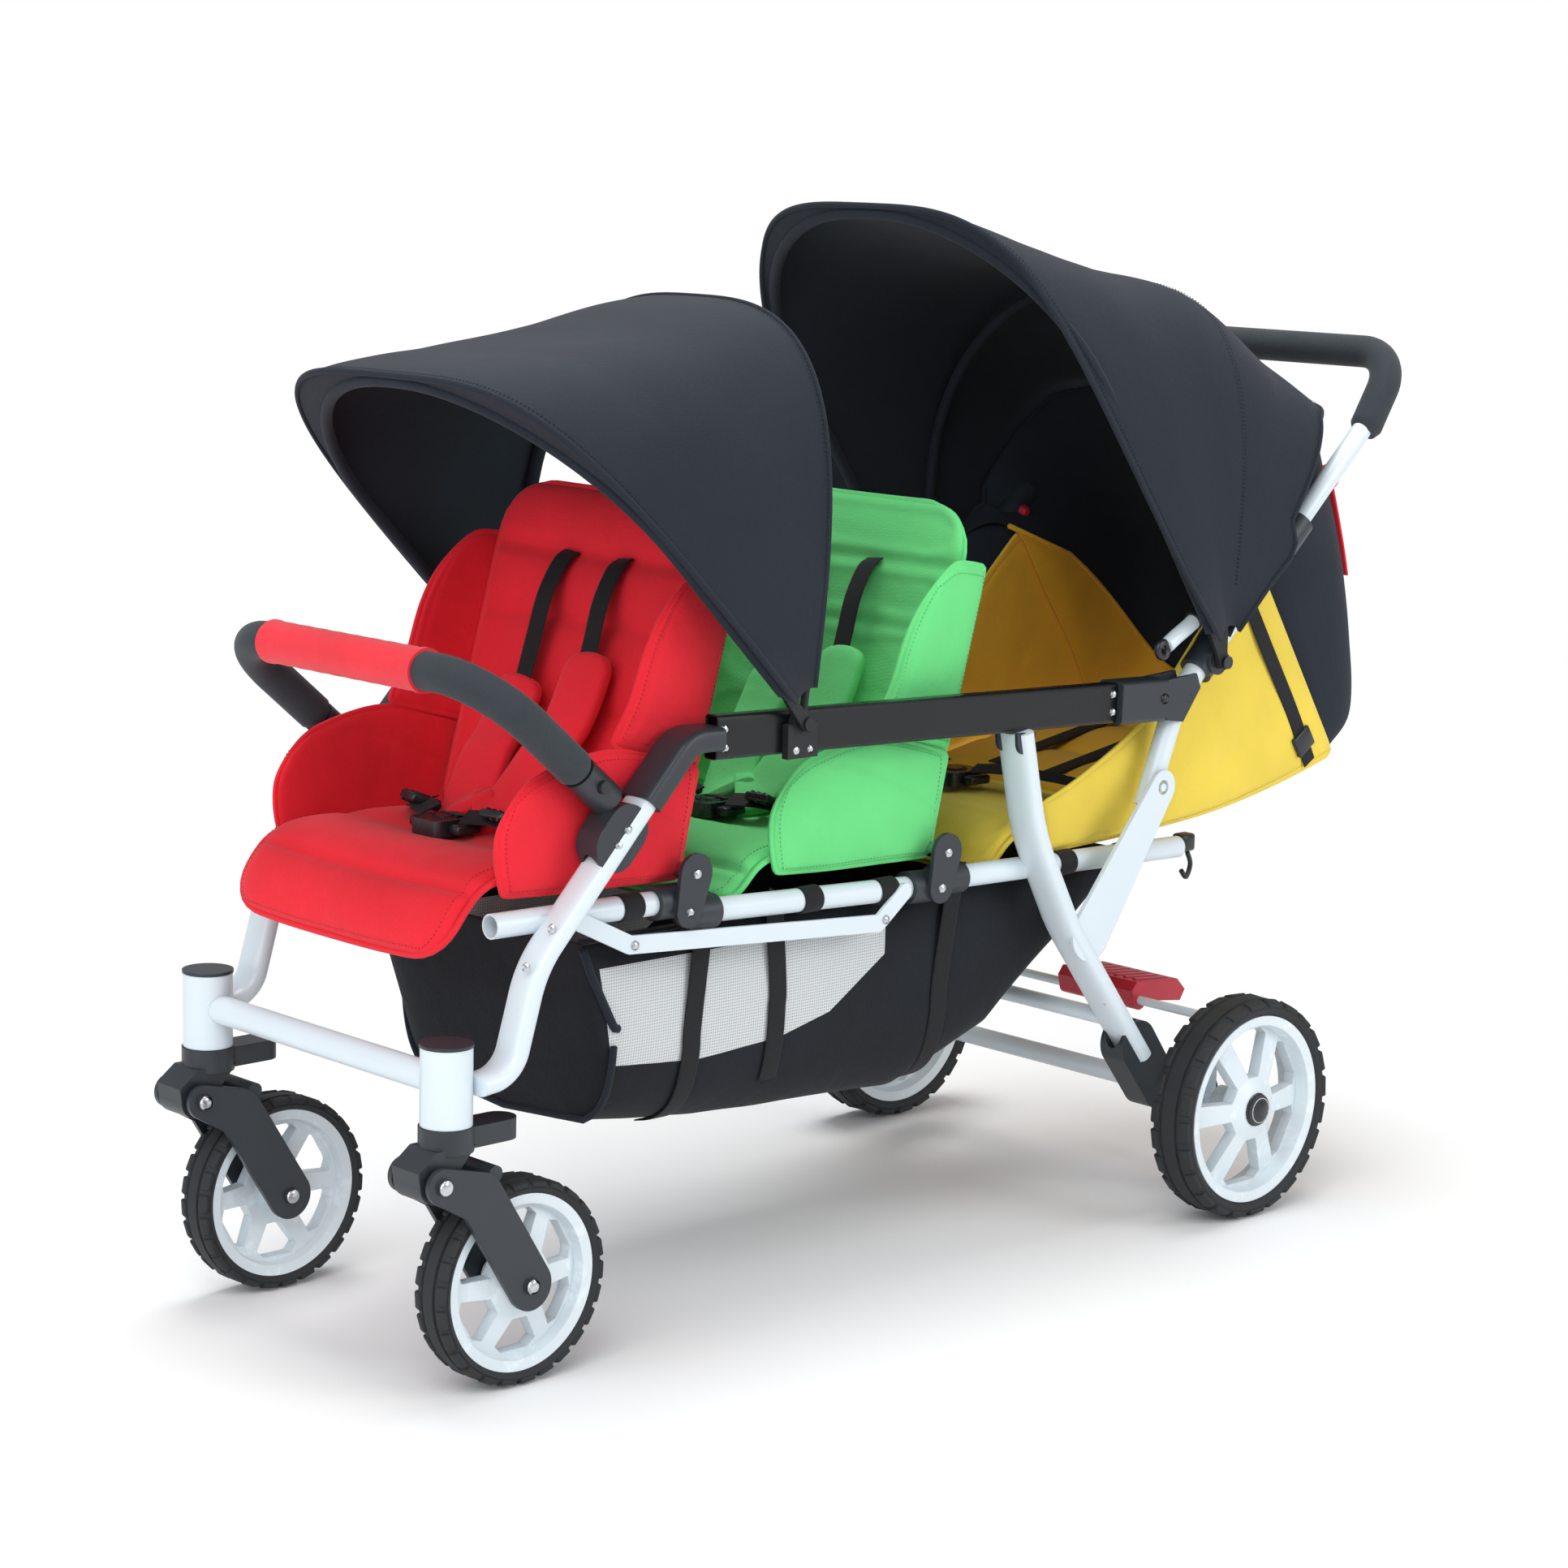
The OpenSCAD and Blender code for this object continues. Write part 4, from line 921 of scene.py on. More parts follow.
class StrollerSizes(bpy.types.PropertyGroup):
    """Sizes of the trim"""

    pad_crown: length_prop("Pad crown", "How far a seat pad swells from its middle", 0.015, 0.004, 0.03)
    webbing: length_prop("Webbing", "Width of the harness webbing", 0.024, 0.015, 0.04)
    piping: length_prop("Piping", "Radius of the corded edges", 0.0032, 0.001, 0.006)
    tape: length_prop("Edge tape", "Width of the folded tape on the seats' edges", 0.011, 0.006, 0.02)
    stitch: length_prop("Stitch", "Distance from one stitch to the next", 0.0045, 0.002, 0.01)
    tread_blocks: IntProperty(
        name="Tread blocks", description="Blocks round each shoulder of a rear tyre", default=24, min=12,
        max=72,
    )


class StrollerStep:
    """What every step of the stroller shares"""

    bl_options = {"REGISTER", "UNDO"}

    @property
    def colours(self):
        return bpy.context.scene.stroller_colours

    @property
    def sizes(self):
        return bpy.context.scene.stroller_sizes


def give(material, *names):
    """Gives a finish to parts of the frame."""
    for name in names:
        mesh = frame["nodes"][name].data
        mesh.materials.clear()
        mesh.materials.append(material)


class STROLLER_OT_finishes(StrollerStep, bpy.types.Operator):
    """Makes the finishes and gives them to the frame's own parts"""

    bl_idname = "stroller.finishes"
    bl_label = "Finishes"

    def execute(self, context):
        c = self.colours
        white = paint_finish("white_powder_coat", c.tubes)
        black = plastic_finish("black_moulding", srgb(40, 46, 52), 0.42)
        buttons = plastic_finish("black_smooth_moulding", srgb(30, 34, 38), 0.3, 0.5)
        rail = rail_finish("black_rail", srgb(12, 14, 17))
        steel = metal_finish("plated_steel", srgb(205, 208, 212), 0.24)
        bow = plastic_finish("black_bow", srgb(16, 18, 21), 0.6)
        rim = plastic_finish("white_rim_moulding", srgb(216, 226, 232), 0.36, 0.6)
        pedal = plastic_finish("red_pedal_moulding", srgb(186, 32, 52), 0.38)
        cloth_finish("red_seat_cloth", c.front_seat, 310.0)
        cloth_finish("green_seat_cloth", c.middle_seat, 310.0)
        # Painted shade: the inward-facing faces of the yellow cloth turn warmer and deeper, for the warm shade inside
        # the rear seat under the hood
        cloth_finish("yellow_seat_cloth", c.rear_seat, 310.0, inner=tinted(c.rear_seat, (1.15, 0.85, 0.6)))
        # Painted shade: the yellow cloth made darker and warmer, for the rear seat's parts in the shade under the hood
        cloth_finish("amber_seat_cloth", tinted(c.rear_seat, (0.95, 0.66, 0.4)), 310.0)
        cloth_finish("black_canopy_cloth", c.cover, 360.0, 0.45, 0.06, 0.84)
        basket_finish("basket_cloth", srgb(17, 22, 29), srgb(205, 208, 210))
        webbing_finish("black_webbing", srgb(17, 19, 23))
        foam_finish("black_foam", srgb(42, 49, 55))
        rubber_finish("tyre_rubber", srgb(34, 37, 40))
        cloth_finish("red_sleeve_cloth", srgb(232, 44, 58), 420.0, 0.4, 0.2, 0.7)
        for name, colour in (("red", c.front_seat), ("green", c.middle_seat), ("yellow", c.rear_seat)):
            webbing_finish(f"{name}_thread", tinted(colour, (0.55, 0.55, 0.55)))
        give(white, "caster_tubes", "front_cross_tube", "seat_tubes", "upper_cross_tube",
             "handle_lower_tubes", "handle_upper_tube", "link_bars", "fold_links", "rear_axle", "brake_bail")
        give(black, "caster_caps", "rail_ends", "leg_hangers", "seat_brackets", "bumper_sockets",
             "rear_brackets", "height_collars", "hood_clamps")
        give(buttons, "buckles", *(f"{place}_buckle_button" for place in ("front", "middle", "rear")))
        give(rail, "side_rails")
        give(steel, "front_back_frame", "middle_back_frame", "bumper_bar")
        give(bow, "canopy_rear_bow", "canopy_front_bow", "hood_front_bow", "hood_middle_bow")
        give(pedal, "brake_pedal")
        for side, _ in SIDES:
            give(black, f"caster_head_{side}", f"caster_fork_{side}")
            give(buttons, f"bumper_button_{side}")
            give(rim, f"front_rim_{side}", f"rear_rim_{side}")
        return {"FINISHED"}


# Frame


FRONT_LEG = [(-58, 299), (-20, 303), (8, 400), (138, 540)]
ELBOW = [(138, 540), (189.1, 595.1), (226, 594)]
REAR_LEG = [(653, 560), (678, 450), (738, 342), (862, 184)]
FRONT_TUBE = flat_section(0.020, 0.037, 0.72)
ELBOW_TUBE = flat_section(0.024, 0.044, 0.4)
REAR_TUBE = flat_section(0.022, 0.044, 0.72)
# Tread blocks: their lean, place and width as shares of the tyre's width, share of the pitch, and sizes
TREAD_LEAN = math.radians(17)
TREAD_PLACE, TREAD_WIDTH = 0.365, 0.25
TREAD_FILL = 0.74
TREAD_HEIGHT, TREAD_SINK, TREAD_BEVEL = 0.007, 0.0038, 0.0022


class STROLLER_OT_legs(StrollerStep, bpy.types.Operator):
    """Draws the bent legs and the rail elbows as smooth tube"""

    bl_idname = "stroller.legs"
    bl_label = "Legs and elbows"

    def execute(self, context):
        bends = (
            ("front_leg", FRONT_LEG, (0, 0.036, 0.110, 0), FRONT_TUBE, WHITE, "chassis", 32),
            ("rail_elbow", ELBOW, (0, 0.034, 0), ELBOW_TUBE, ELBOWS, "chassis", 36),
            ("rear_leg", REAR_LEG, (0, 0.240, 0.240, 0), REAR_TUBE, WHITE, "rear_frame", 32),
        )
        for side, s in SIDES:
            for name, line, radii, section, look, body, segments in bends:
                path = bent(side_line(line, LEG_SIDE * s), radii)
                made = tube(f"{name}_{side}", path, section, X_AXIS, look, body, segments)
                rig.replaces(made, f"{name}s")
        return {"FINISHED"}


class STROLLER_OT_tyres(StrollerStep, bpy.types.Operator):
    """Turns the tyres and sets their tread blocks"""

    bl_idname = "stroller.tyres"
    bl_label = "Tyres"

    def tyre(self, node, body, blocks):
        low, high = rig.box(node)
        centre, radius, width = (low + high) / 2, (high.z - low.z) / 2, high.x - low.x
        bm = bmesh.new()
        rim = radius * 0.85
        crown = radius - 0.0016
        # Half the profile: shares of the width, and radii from the rim up to the middle of the tread
        wall = [(0.40, rim), (0.47, rim + 0.004), (0.492, rim + (crown - rim) * 0.45), (0.478, crown - 0.008),
                (0.44, crown - 0.0045), (0.37, crown - 0.0022), (0.23, crown - 0.0008),
                (0.215, crown - 0.0024), (0.175, crown - 0.0024), (0.16, crown), (0.0, crown + 0.0004)]
        profile = [(-x, r) for x, r in wall] + wall[-2::-1]
        ring = [bm.verts.new((x * width, 0, r)) for x, r in profile]
        edges = [bm.edges.new(pair) for pair in zip(ring, ring[1:] + ring[:1])]
        bmesh.ops.spin(bm, geom=ring + edges, cent=(0, 0, 0), axis=(1, 0, 0), dvec=(0, 0, 0),
                       angle=2 * math.pi, steps=96, use_merge=True)
        step = 2 * math.pi / blocks
        for k in range(blocks):
            for s in (1, -1):
                turn = Matrix.Rotation(step * (k + (0.25 if s > 0 else 0.75)), 4, "X")
                lean = Matrix.Rotation(TREAD_LEAN * s, 4, "Y")
                place = turn @ Matrix.Translation((s * width * TREAD_PLACE, 0, crown - TREAD_SINK)) @ lean
                size = (width * TREAD_WIDTH, step * radius * TREAD_FILL, TREAD_HEIGHT)
                add_block(bm, size, place, TREAD_BEVEL)
        for v in bm.verts:
            v.co += centre
        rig.replaces(piece(node + "_rubber", bm, RUBBER, body, 35), node)

    def execute(self, context):
        count = self.sizes.tread_blocks
        for side, _ in SIDES:
            self.tyre(f"rear_tyre_{side}", f"rear_wheel_{side}", count)
            self.tyre(f"front_tyre_{side}", f"front_wheel_{side}", int(count * 1.1))
        return {"FINISHED"}


BUMPER_FOOT = (100, 546)
BUMPER_TURN = math.radians(139.7)
BUMPER_HALF, BUMPER_REACH, BUMPER_CORNER, BUMPER_START = 201, 190, 70, 47
BUMPER_FOAM = 0.0185
BUMPER_SLEEVE = BUMPER_FOAM + 0.0022
SLEEVE_SPAN = (-0.128, 0.118)
SLEEVE_HEM, SLEEVE_EASE = 0.00072, 0.0002
GRIP_FOOT = (1224, 864)
GRIP_TURN = math.radians(57)
GRIP_REACH, GRIP_CORNER, GRIP_START = 84, 48, -20
GRIP_FOAM = 0.0182
GRIP_CAD_RADIUS = 18.5


class STROLLER_OT_bumper(StrollerStep, bpy.types.Operator):
    """Wraps the bumper bar in foam and a plain cloth sleeve"""

    bl_idname = "stroller.bumper"
    bl_label = "Bumper bar"

    def execute(self, context):
        path = dense(u_path(BUMPER_FOOT, BUMPER_TURN, BUMPER_HALF, BUMPER_REACH, BUMPER_CORNER, BUMPER_START))
        up = Vector((0, -math.sin(BUMPER_TURN), -math.cos(BUMPER_TURN)))
        foam = tube("bumper_foam_sleeve", path, tapered(BUMPER_FOAM, 0.004, 200), up, FOAM, "bumper", 28)
        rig.replaces(foam, "bumper_foam")
        bar = [p for p in path if SLEEVE_SPAN[0] < p.x < SLEEVE_SPAN[1] and p.y < at(0, 0).y]

        def snug(t):
            """A hemmed sleeve with a little ease in it."""
            hem = SLEEVE_HEM if min(t, 1 - t) < 0.03 else 0.0

            def section(a):
                ease = SLEEVE_EASE * math.sin(9 * t * 6.28 + 2 * math.sin(a)) * math.sin(3 * a)
                return round_section(BUMPER_SLEEVE + hem + ease)(a)
            return section

        sleeve = tube("bumper_sleeve", bar, varying(snug), up, SLEEVE, "bumper", 36)
        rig.padded(sleeve, 0.9)
        seam = [p - up * (BUMPER_SLEEVE + 0.0004) for p in bar]
        thread = seat_looks("red")[1]
        stitches("bumper_sleeve_stitches", seam, -up, thread, "bumper", self.sizes.stitch)
        return {"FINISHED"}


class STROLLER_OT_grip(StrollerStep, bpy.types.Operator):
    """Draws the handle's foam grip"""

    bl_idname = "stroller.grip"
    bl_label = "Handle grip"

    def execute(self, context):
        low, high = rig.box("handle_grip")
        half = (high.x - low.x) / 2 * 1000 - GRIP_CAD_RADIUS
        path = dense(u_path(GRIP_FOOT, GRIP_TURN, half, GRIP_REACH, GRIP_CORNER, GRIP_START), 0.008)
        up = Vector((0, -math.sin(GRIP_TURN), math.cos(GRIP_TURN)))
        made = tube("handle_grip_foam", path, tapered(GRIP_FOAM, 0.0045, 260), up, FOAM, "handle_top", 28)
        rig.replaces(made, "handle_grip")
        return {"FINISHED"}


# Seats


BACK_TURN = math.radians(75)
BACK_UP = Vector((0, math.cos(BACK_TURN), math.sin(BACK_TURN)))
BACK_OUT = Vector((0, -math.sin(BACK_TURN), math.cos(BACK_TURN)))
BACK_HINGE = (214, 462)
BACK_LONG, BACK_HALF = 340, 163.0
PAD_LIP = 0.16
UPRIGHT = {"front": ((0, 0), 404, "red"), "middle": ((347, -20), 432, "green")}
BACK_SEAMS = [across(0.80, 0.022), across(0.60, 0.022, 0.8), across(0.34, 0.03, 0.5),
              tuft(0.36, 0.6, 0.03, 0.03), tuft(0.64, 0.6, 0.03, 0.03), tuft(0.39, 0.8, 0.05, 0.02, 1.2),
              tuft(0.61, 0.8, 0.05, 0.02, 1.2)]
PAD_SEAMS = [across(0.30, 0.02), across(0.66, 0.03, 0.6)]
WING_GATHER = [down(0.9, 0.02, 0.6, 0.1, 0.95)]


def side_fold(a, b):
    """A slanting crease in the rear half of an upright seat's side panel."""
    return 0.8 * math.exp(-(((b - 0.9 + 0.85 * (a - 0.45)) / 0.025) ** 2)) if a > 0.45 else 0.0


def rear_fold(a, b):
    """A slanting crease along a side panel of the rear seat."""
    return 0.5 * math.exp(-(((b - 0.5 * a) / 0.05) ** 2)) if a < 0.7 else 0.0


class UprightSeat:
    """The shapes of one upright seat, told from the front seat's places and a shift in (d, z)."""

    def __init__(self, shift, lip):
        self.d, self.z = shift
        self.lip = lip
        self.hinge = self.spot(*BACK_HINGE)

    def spot(self, d, z, x=0.0):
        return at(d + self.d, z + self.z, x)

    def line(self, *points):
        return [self.spot(d, z) for d, z in points]

    def on_back(self, s, f, x):
        """A point up the back by s, in front of it by f and to the side by x."""
        return self.hinge + BACK_UP * s / 1000 + BACK_OUT * f / 1000 + Vector((x / 1000, 0, 0))

    def pad(self, u, v):
        line = self.line((-66, self.lip), (-42, 444), (-12, 469), (40, 474), (120, 472), (206, 469))
        p = on_spline(line, v)
        half = 0.166 - (0.030 * (1 - v / PAD_LIP) ** 2.2 if v < PAD_LIP else 0.0)
        return Vector(((2 * u - 1) * half, p.y, p.z + 0.004 * abs(2 * u - 1) ** 3))

    def side(self, s):
        low = self.line((-2, 461), (70, 457), (150, 455), (216, 453))
        high = self.line((2, 556), (40, 572), (130, 586), (240, 560))

        def surface(u, v):
            u, v = rounded(1 - u, v, 0.42)
            u = 1 - u
            p = mix(on_spline(low, u), on_spline(high, u), v)
            p.y -= 0.010 * math.sin(math.pi * v) * (1 - u) ** 3
            p.x = s * (0.1725 + 0.004 * math.sin(math.pi * u) * math.sin(math.pi * v))
            return p
        return surface

    def wing(self, s):
        reach = [Vector((f, 0, 0)) for f in (116, 104, 100, 94, 82)]

        def surface(u, v):
            u, v = rounded(u, v, 0.5)
            f = on_spline(reach, v).x
            top = 297 - 14 * u * u
            x = 167.5 + 9 * u * (0.4 + 0.6 * v) + 4 * math.sin(math.pi * u) * math.sin(math.pi * v)
            return self.on_back(100 + (top - 100) * v, -2 + (f + 2) * u, s * x)
        return surface

    def back(self, u, v):
        half = BACK_HALF
        if v > 0.84:
            k = (v - 0.84) / 0.16
            half = half - 56 + 56 * math.sqrt(max(1 - k * k, 0.0)) * 0.999
        bow = 6 * (1 - abs(2 * u - 1) ** 2)
        return self.on_back(14 + BACK_LONG * v, 26 - bow, (2 * u - 1) * half)


class STROLLER_OT_upright_seats(StrollerStep, bpy.types.Operator):
    """Sews the front and the middle seat: pad, side panels, back and wings"""

    bl_idname = "stroller.upright_seats"
    bl_label = "Upright seats"

    def row(self, name, surface, front, seams, thread, body=None, inset=0.06):
        """Stitches just inside the border of a quilted face."""
        spots = rim_spots(30, inset)
        normals = [normal_of(surface, u, v) for u, v in spots]
        heights = [front * fill_of(u, v, 8, seams)[0] for u, v in spots]
        points = [surface(u, v) + n * high for (u, v), n, high in zip(spots, normals, heights)]
        facing = [n * (1 if front > 0 else -1) for n in normals]
        return stitches(name, points, lambda i: facing[i], thread, body, self.sizes.stitch, closed=True)

    def execute(self, context):
        crown, tape = self.sizes.pad_crown, self.sizes.tape
        for place, (shift, lip, colour) in UPRIGHT.items():
            seat = UprightSeat(shift, lip)
            cloth, thread = seat_looks(colour)
            backrest = f"{place}_backrest"
            name = f"{place}_seat_pad"
            pad = quilt(name, seat.pad, 44, 40, crown, 0.012, cloth, "chassis", PAD_SEAMS, 0.0015, 1.0, 0.006)
            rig.replaces(pad, f"{place}_seat")
            piping(f"{name}_piping", border(seat.pad), self.sizes.piping, cloth, "chassis")
            self.row(f"{name}_stitches", seat.pad, crown, PAD_SEAMS, thread, "chassis", 0.035)
            back = quilt(f"{place}_back_pad", seat.back, 44, 52, -0.010, -crown, cloth, backrest, BACK_SEAMS,
                         0.0018, 2.0, 0.006)
            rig.replaces(back, f"{place}_back")
            binding(f"{place}_back_binding", seat.back, tape, cloth, backrest)
            for side, s in SIDES:
                outer = 0.007 * s
                surface = seat.side(s)
                panel = quilt(f"{place}_side_panel_{side}", surface, 34, 24, outer, outer * 0.8, cloth, None,
                              [side_fold], 0.0016, 3.0 + s)
                edge = binding(f"{place}_side_binding_{side}", surface, tape, cloth, None)
                row = self.row(f"{place}_side_stitches_{side}", surface, outer, [side_fold], thread)
                start, end = seat.on_back(0, 0, 0), seat.on_back(96, 0, 0)
                for soft in (panel, edge, row):
                    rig.blend(soft, "chassis", backrest, start=start, end=end)
                surface = seat.wing(s)
                quilt(f"{place}_wing_{side}", surface, 26, 34, -outer, -outer * 0.9, cloth, backrest,
                      WING_GATHER, 0.0018, 5.0 + s)
                binding(f"{place}_wing_binding_{side}", surface, tape, cloth, backrest)
                self.row(f"{place}_wing_stitches_{side}", surface, -outer, WING_GATHER, thread, backrest)
        return {"FINISHED"}


REAR_SEAM = at(877.6, 430)
REAR_RUN = Vector((0, 324, 54)).normalized()
REAR_FACE = Vector((0, -54, 324)).normalized()
TUBE_CLEAR = Vector((0, -0.68, 0.735))
# The cloth round the rear seat goes over from the chassis to the handle between these two points
HANDLE_FOLD = (at(1010, 470), at(1040, 760))


def rear_pad(u, v):
    p = on_spline(side_line([(664, 400), (680, 424), (708, 441), (760, 447), (820, 446), (884, 443)], 0), v)
    half = 0.166 - (0.02 * (1 - v / PAD_LIP) ** 2 if v < PAD_LIP else 0.0)
    return Vector(((2 * u - 1) * half, p.y, p.z))


def rear_back(u, v):
    p = REAR_SEAM + REAR_RUN * (0.004 + 0.322 * v) + REAR_FACE * 0.018
    return Vector(((2 * u - 1) * 0.158, p.y, p.z))


def rear_side(s):
    low = side_line([(738, 417), (874, 422), (1011, 432), (1128, 452), (1226, 476)], 0)
    high = side_line([(730, 470), (795, 494), (891, 546), (978, 634), (1066, 718)], 0)

    def surface(u, v):
        p = mix(on_spline(low, u), on_spline(high, u), v)
        p.x = s * (0.1735 + 0.004 * math.sin(math.pi * u) * math.sin(math.pi * v))
        return p
    return surface


WALL_SIDE = side_line([(1206, 479), (1160, 560), (1104, 640), (1054, 716), (1034, 746)], 0)
WALL_REAR = side_line([(1226, 478), (1294, 508), (1296, 600), (1270, 720), (1226, 850)], 0)


def head_wall(u, v):
    """The black wall behind the rear seat, wrapped round to both sides, its top tucked under the hood."""
    c, s = math.cos(math.pi * u), max(math.sin(math.pi * u), 0.0)
    bend = s**0.36
    p = mix(on_spline(WALL_SIDE, v), on_spline(WALL_REAR, v), bend)
    p.x = 0.171 * power(c, 0.36)
    edge = HOOD_CLOTH(mix(0.006, 0.994, u), 0.965)
    edge = Vector((edge.x * 0.965, edge.y - 0.003, edge.z - 0.006))
    t = max(0.0, (v - 0.68) / 0.32)
    return mix(p, edge, smooth(t)) + TUBE_CLEAR * (0.018 * math.sin(math.pi * t) * (1 - bend))


def hood_gusset(s):
    """Cloth from a side panel's top edge over the handle tube to the hood."""
    panel = rear_side(s)

    def surface(u, v):
        low = panel(mix(0.70, 0.995, u), 0.96)
        reach = max((low - at(*HOOD_PIVOT, low.x * 1000)).length * 1000, 30)
        turn = math.radians(mix(60, 53, u))
        high = at(HOOD_PIVOT[0] + reach * math.cos(turn), HOOD_PIVOT[1] + reach * math.sin(turn), 229 * s)
        return mix(low, high, v) + TUBE_CLEAR * (0.021 * math.sin(math.pi * v))
    return surface


def rear_lining(u, v):
    """The seat's own cloth inside the foot of the wall, hung from the side panels' tops."""
    top = mix(0.74, 0.30, max(math.sin(math.pi * u), 0.0) ** 0.5)
    p = head_wall(u, v * top)
    return Vector((p.x * 0.965, p.y - 0.006, p.z))


class STROLLER_OT_rear_seat(StrollerStep, bpy.types.Operator):
    """Sews the lying rear seat and the black wall behind its head"""

    bl_idname = "stroller.rear_seat"
    bl_label = "Rear seat"

    def cushions(self, cloth):
        crown, cord = self.sizes.pad_crown, self.sizes.piping
        seams = [across(0.5, 0.03, 0.6)]
        pad = quilt("rear_seat_pad", rear_pad, 44, 36, crown, 0.012, cloth, "chassis", seams, 0.0018, 7.0,
                    0.006)
        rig.replaces(pad, "rear_seat")
        piping("rear_seat_piping", border(rear_pad), cord, cloth, "chassis")
        seams = [across(0.35, 0.025, 0.8), across(0.68, 0.025, 0.8)]
        # Painted shade: the back pad takes the darker, warmer copy of the yellow cloth, for the shade under the hood
        back = quilt("rear_back_pad", rear_back, 44, 46, crown * 0.9, 0.012, PAINTED_SHADE_YELLOW, None, seams, 0.0018, 8.0,
                     0.006)
        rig.replaces(back, "rear_back")
        edge = piping("rear_back_piping", border(rear_back), cord, cloth, None)
        for part in (back, edge):
            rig.blend(part, "chassis", "rear_backrest", start=REAR_SEAM + REAR_RUN * 0.008,
                     end=REAR_SEAM + REAR_RUN * 0.07)

    def panel(self, side, s, cloth, thread):
        """One side panel with its tape, grommet, stitches and strap."""
        surface = rear_side(s)
        out = X_AXIS * s
        yield quilt(f"rear_side_panel_{side}", surface, 54, 30, 0.005 * s, 0.004 * s, cloth, None,
                    [rear_fold], 0.003, 9.0 + s, edge=10)
        yield binding(f"rear_side_binding_{side}", surface, self.sizes.tape * 1.1, cloth, None)
        middle = surface(0.62, 0.86) + out * 0.006
        turns = (k * math.pi / 12 for k in range(24))
        eye = [middle + Vector((0, 0.007 * math.cos(a), 0.007 * math.sin(a))) for a in turns]
        yield tube(f"rear_grommet_{side}", eye, round_section(0.0022), X_AXIS, SMOOTH, None, 10, None, True)
        seam = [p + out * 0.0042 for p in edge_run(surface, 0.03, 60)]
        yield stitches(f"rear_side_stitches_{side}", seam, out, thread, None, self.sizes.stitch)
        run = [at(1036, 690, 181 * s), at(1086, 612, 182 * s), at(1140, 532, 181 * s), at(1178, 471, 179 * s)]
        yield strap(f"rear_side_strap_{side}", run, 0.020, 0.0016, out, WEBBING, None)
        bm = bmesh.new()
        turn = Matrix.Rotation(math.radians(-56), 4, "X")
        add_block(bm, (0.006, 0.026, 0.030), Matrix.Translation(at(1162, 497, 181 * s)) @ turn, 0.002)
        yield piece(f"rear_strap_slider_{side}", bm, SMOOTH, None, 40)

    def wall(self):
        """The wall with its hems, the lining inside its foot and the gussets."""
        lean = Vector((0, 0.2, 1))
        wall = cloth_sheet("head_wall", head_wall, 90, 40, 0.004, CANOPY, "stretched", ["rear_seat_pad"],
                           0.002, 11.0)
        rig.replaces(wall, "head_panel")
        yield wall
        for label, v in (("foot", 0.0), ("top", 1.0)):
            hem = edge_run(head_wall, v, 60)
            yield tube(f"head_wall_hem_{label}", hem, round_section(0.003), lean, CANOPY, None, 10, None)
        cut = run_length(edge_run(rear_lining, 0.5, 60)), cut_size(rear_lining)[1]
        # Painted shade: the lining and its hem take the darker, warmer copy of the yellow cloth, for the shade at the
        # foot of the wall
        yield cloth_sheet("rear_lining", rear_lining, 80, 24, 0.003, PAINTED_SHADE_YELLOW, "stretched", ["head_wall"],
                          0.003, 13.0, flat=cut)
        hem = edge_run(rear_lining, 1.0, 60)
        yield tube("rear_lining_hem", hem, round_section(0.0032), lean, PAINTED_SHADE_YELLOW, None, 10, None)
        for side, s in SIDES:
            yield cloth_sheet(f"hood_gusset_{side}", hood_gusset(s), 30, 16, 0.0024, CANOPY, "stretched",
                              ["head_wall"], 0.001, 15.0)

    def pull(self):
        """The strap and the ball that recline the back, on the wall."""
        face = [(head_wall(0.318, v), normal_of(head_wall, 0.318, v)) for v in (0.81, 0.76, 0.71, 0.66)]
        run = [p + n * (0.004 if n.y > 0 else -0.004) for p, n in face]
        yield strap("recline_strap", run, 0.018, 0.003, Vector((0, 1, 0.25)), SLEEVE, None)
        bm = bmesh.new()
        place = Matrix.Translation(mix(run[0], run[1], 0.12) + Vector((0, 0.004, 0)))
        bmesh.ops.create_uvsphere(bm, u_segments=32, v_segments=20, radius=0.015,
                                  matrix=place @ Matrix.Diagonal((1, 0.55, 1, 1)))
        ball = piece("recline_pull", bm, SLEEVE, None)
        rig.padded(ball, 0.9)
        yield ball

    def execute(self, context):
        cloth, thread = seat_looks("yellow")
        self.cushions(cloth)
        parts = [part for side, s in SIDES for part in self.panel(side, s, cloth, thread)]
        parts += [*self.wall(), *self.pull()]
        for part in parts:
            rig.blend(part, "chassis", "handle", start=HANDLE_FOLD[0], end=HANDLE_FOLD[1])
        return {"FINISHED"}


WEB_THICK = 0.0018
BUCKLES = {"front": (66, 488.4), "middle": (413, 468.4), "rear": (780, 462.8)}


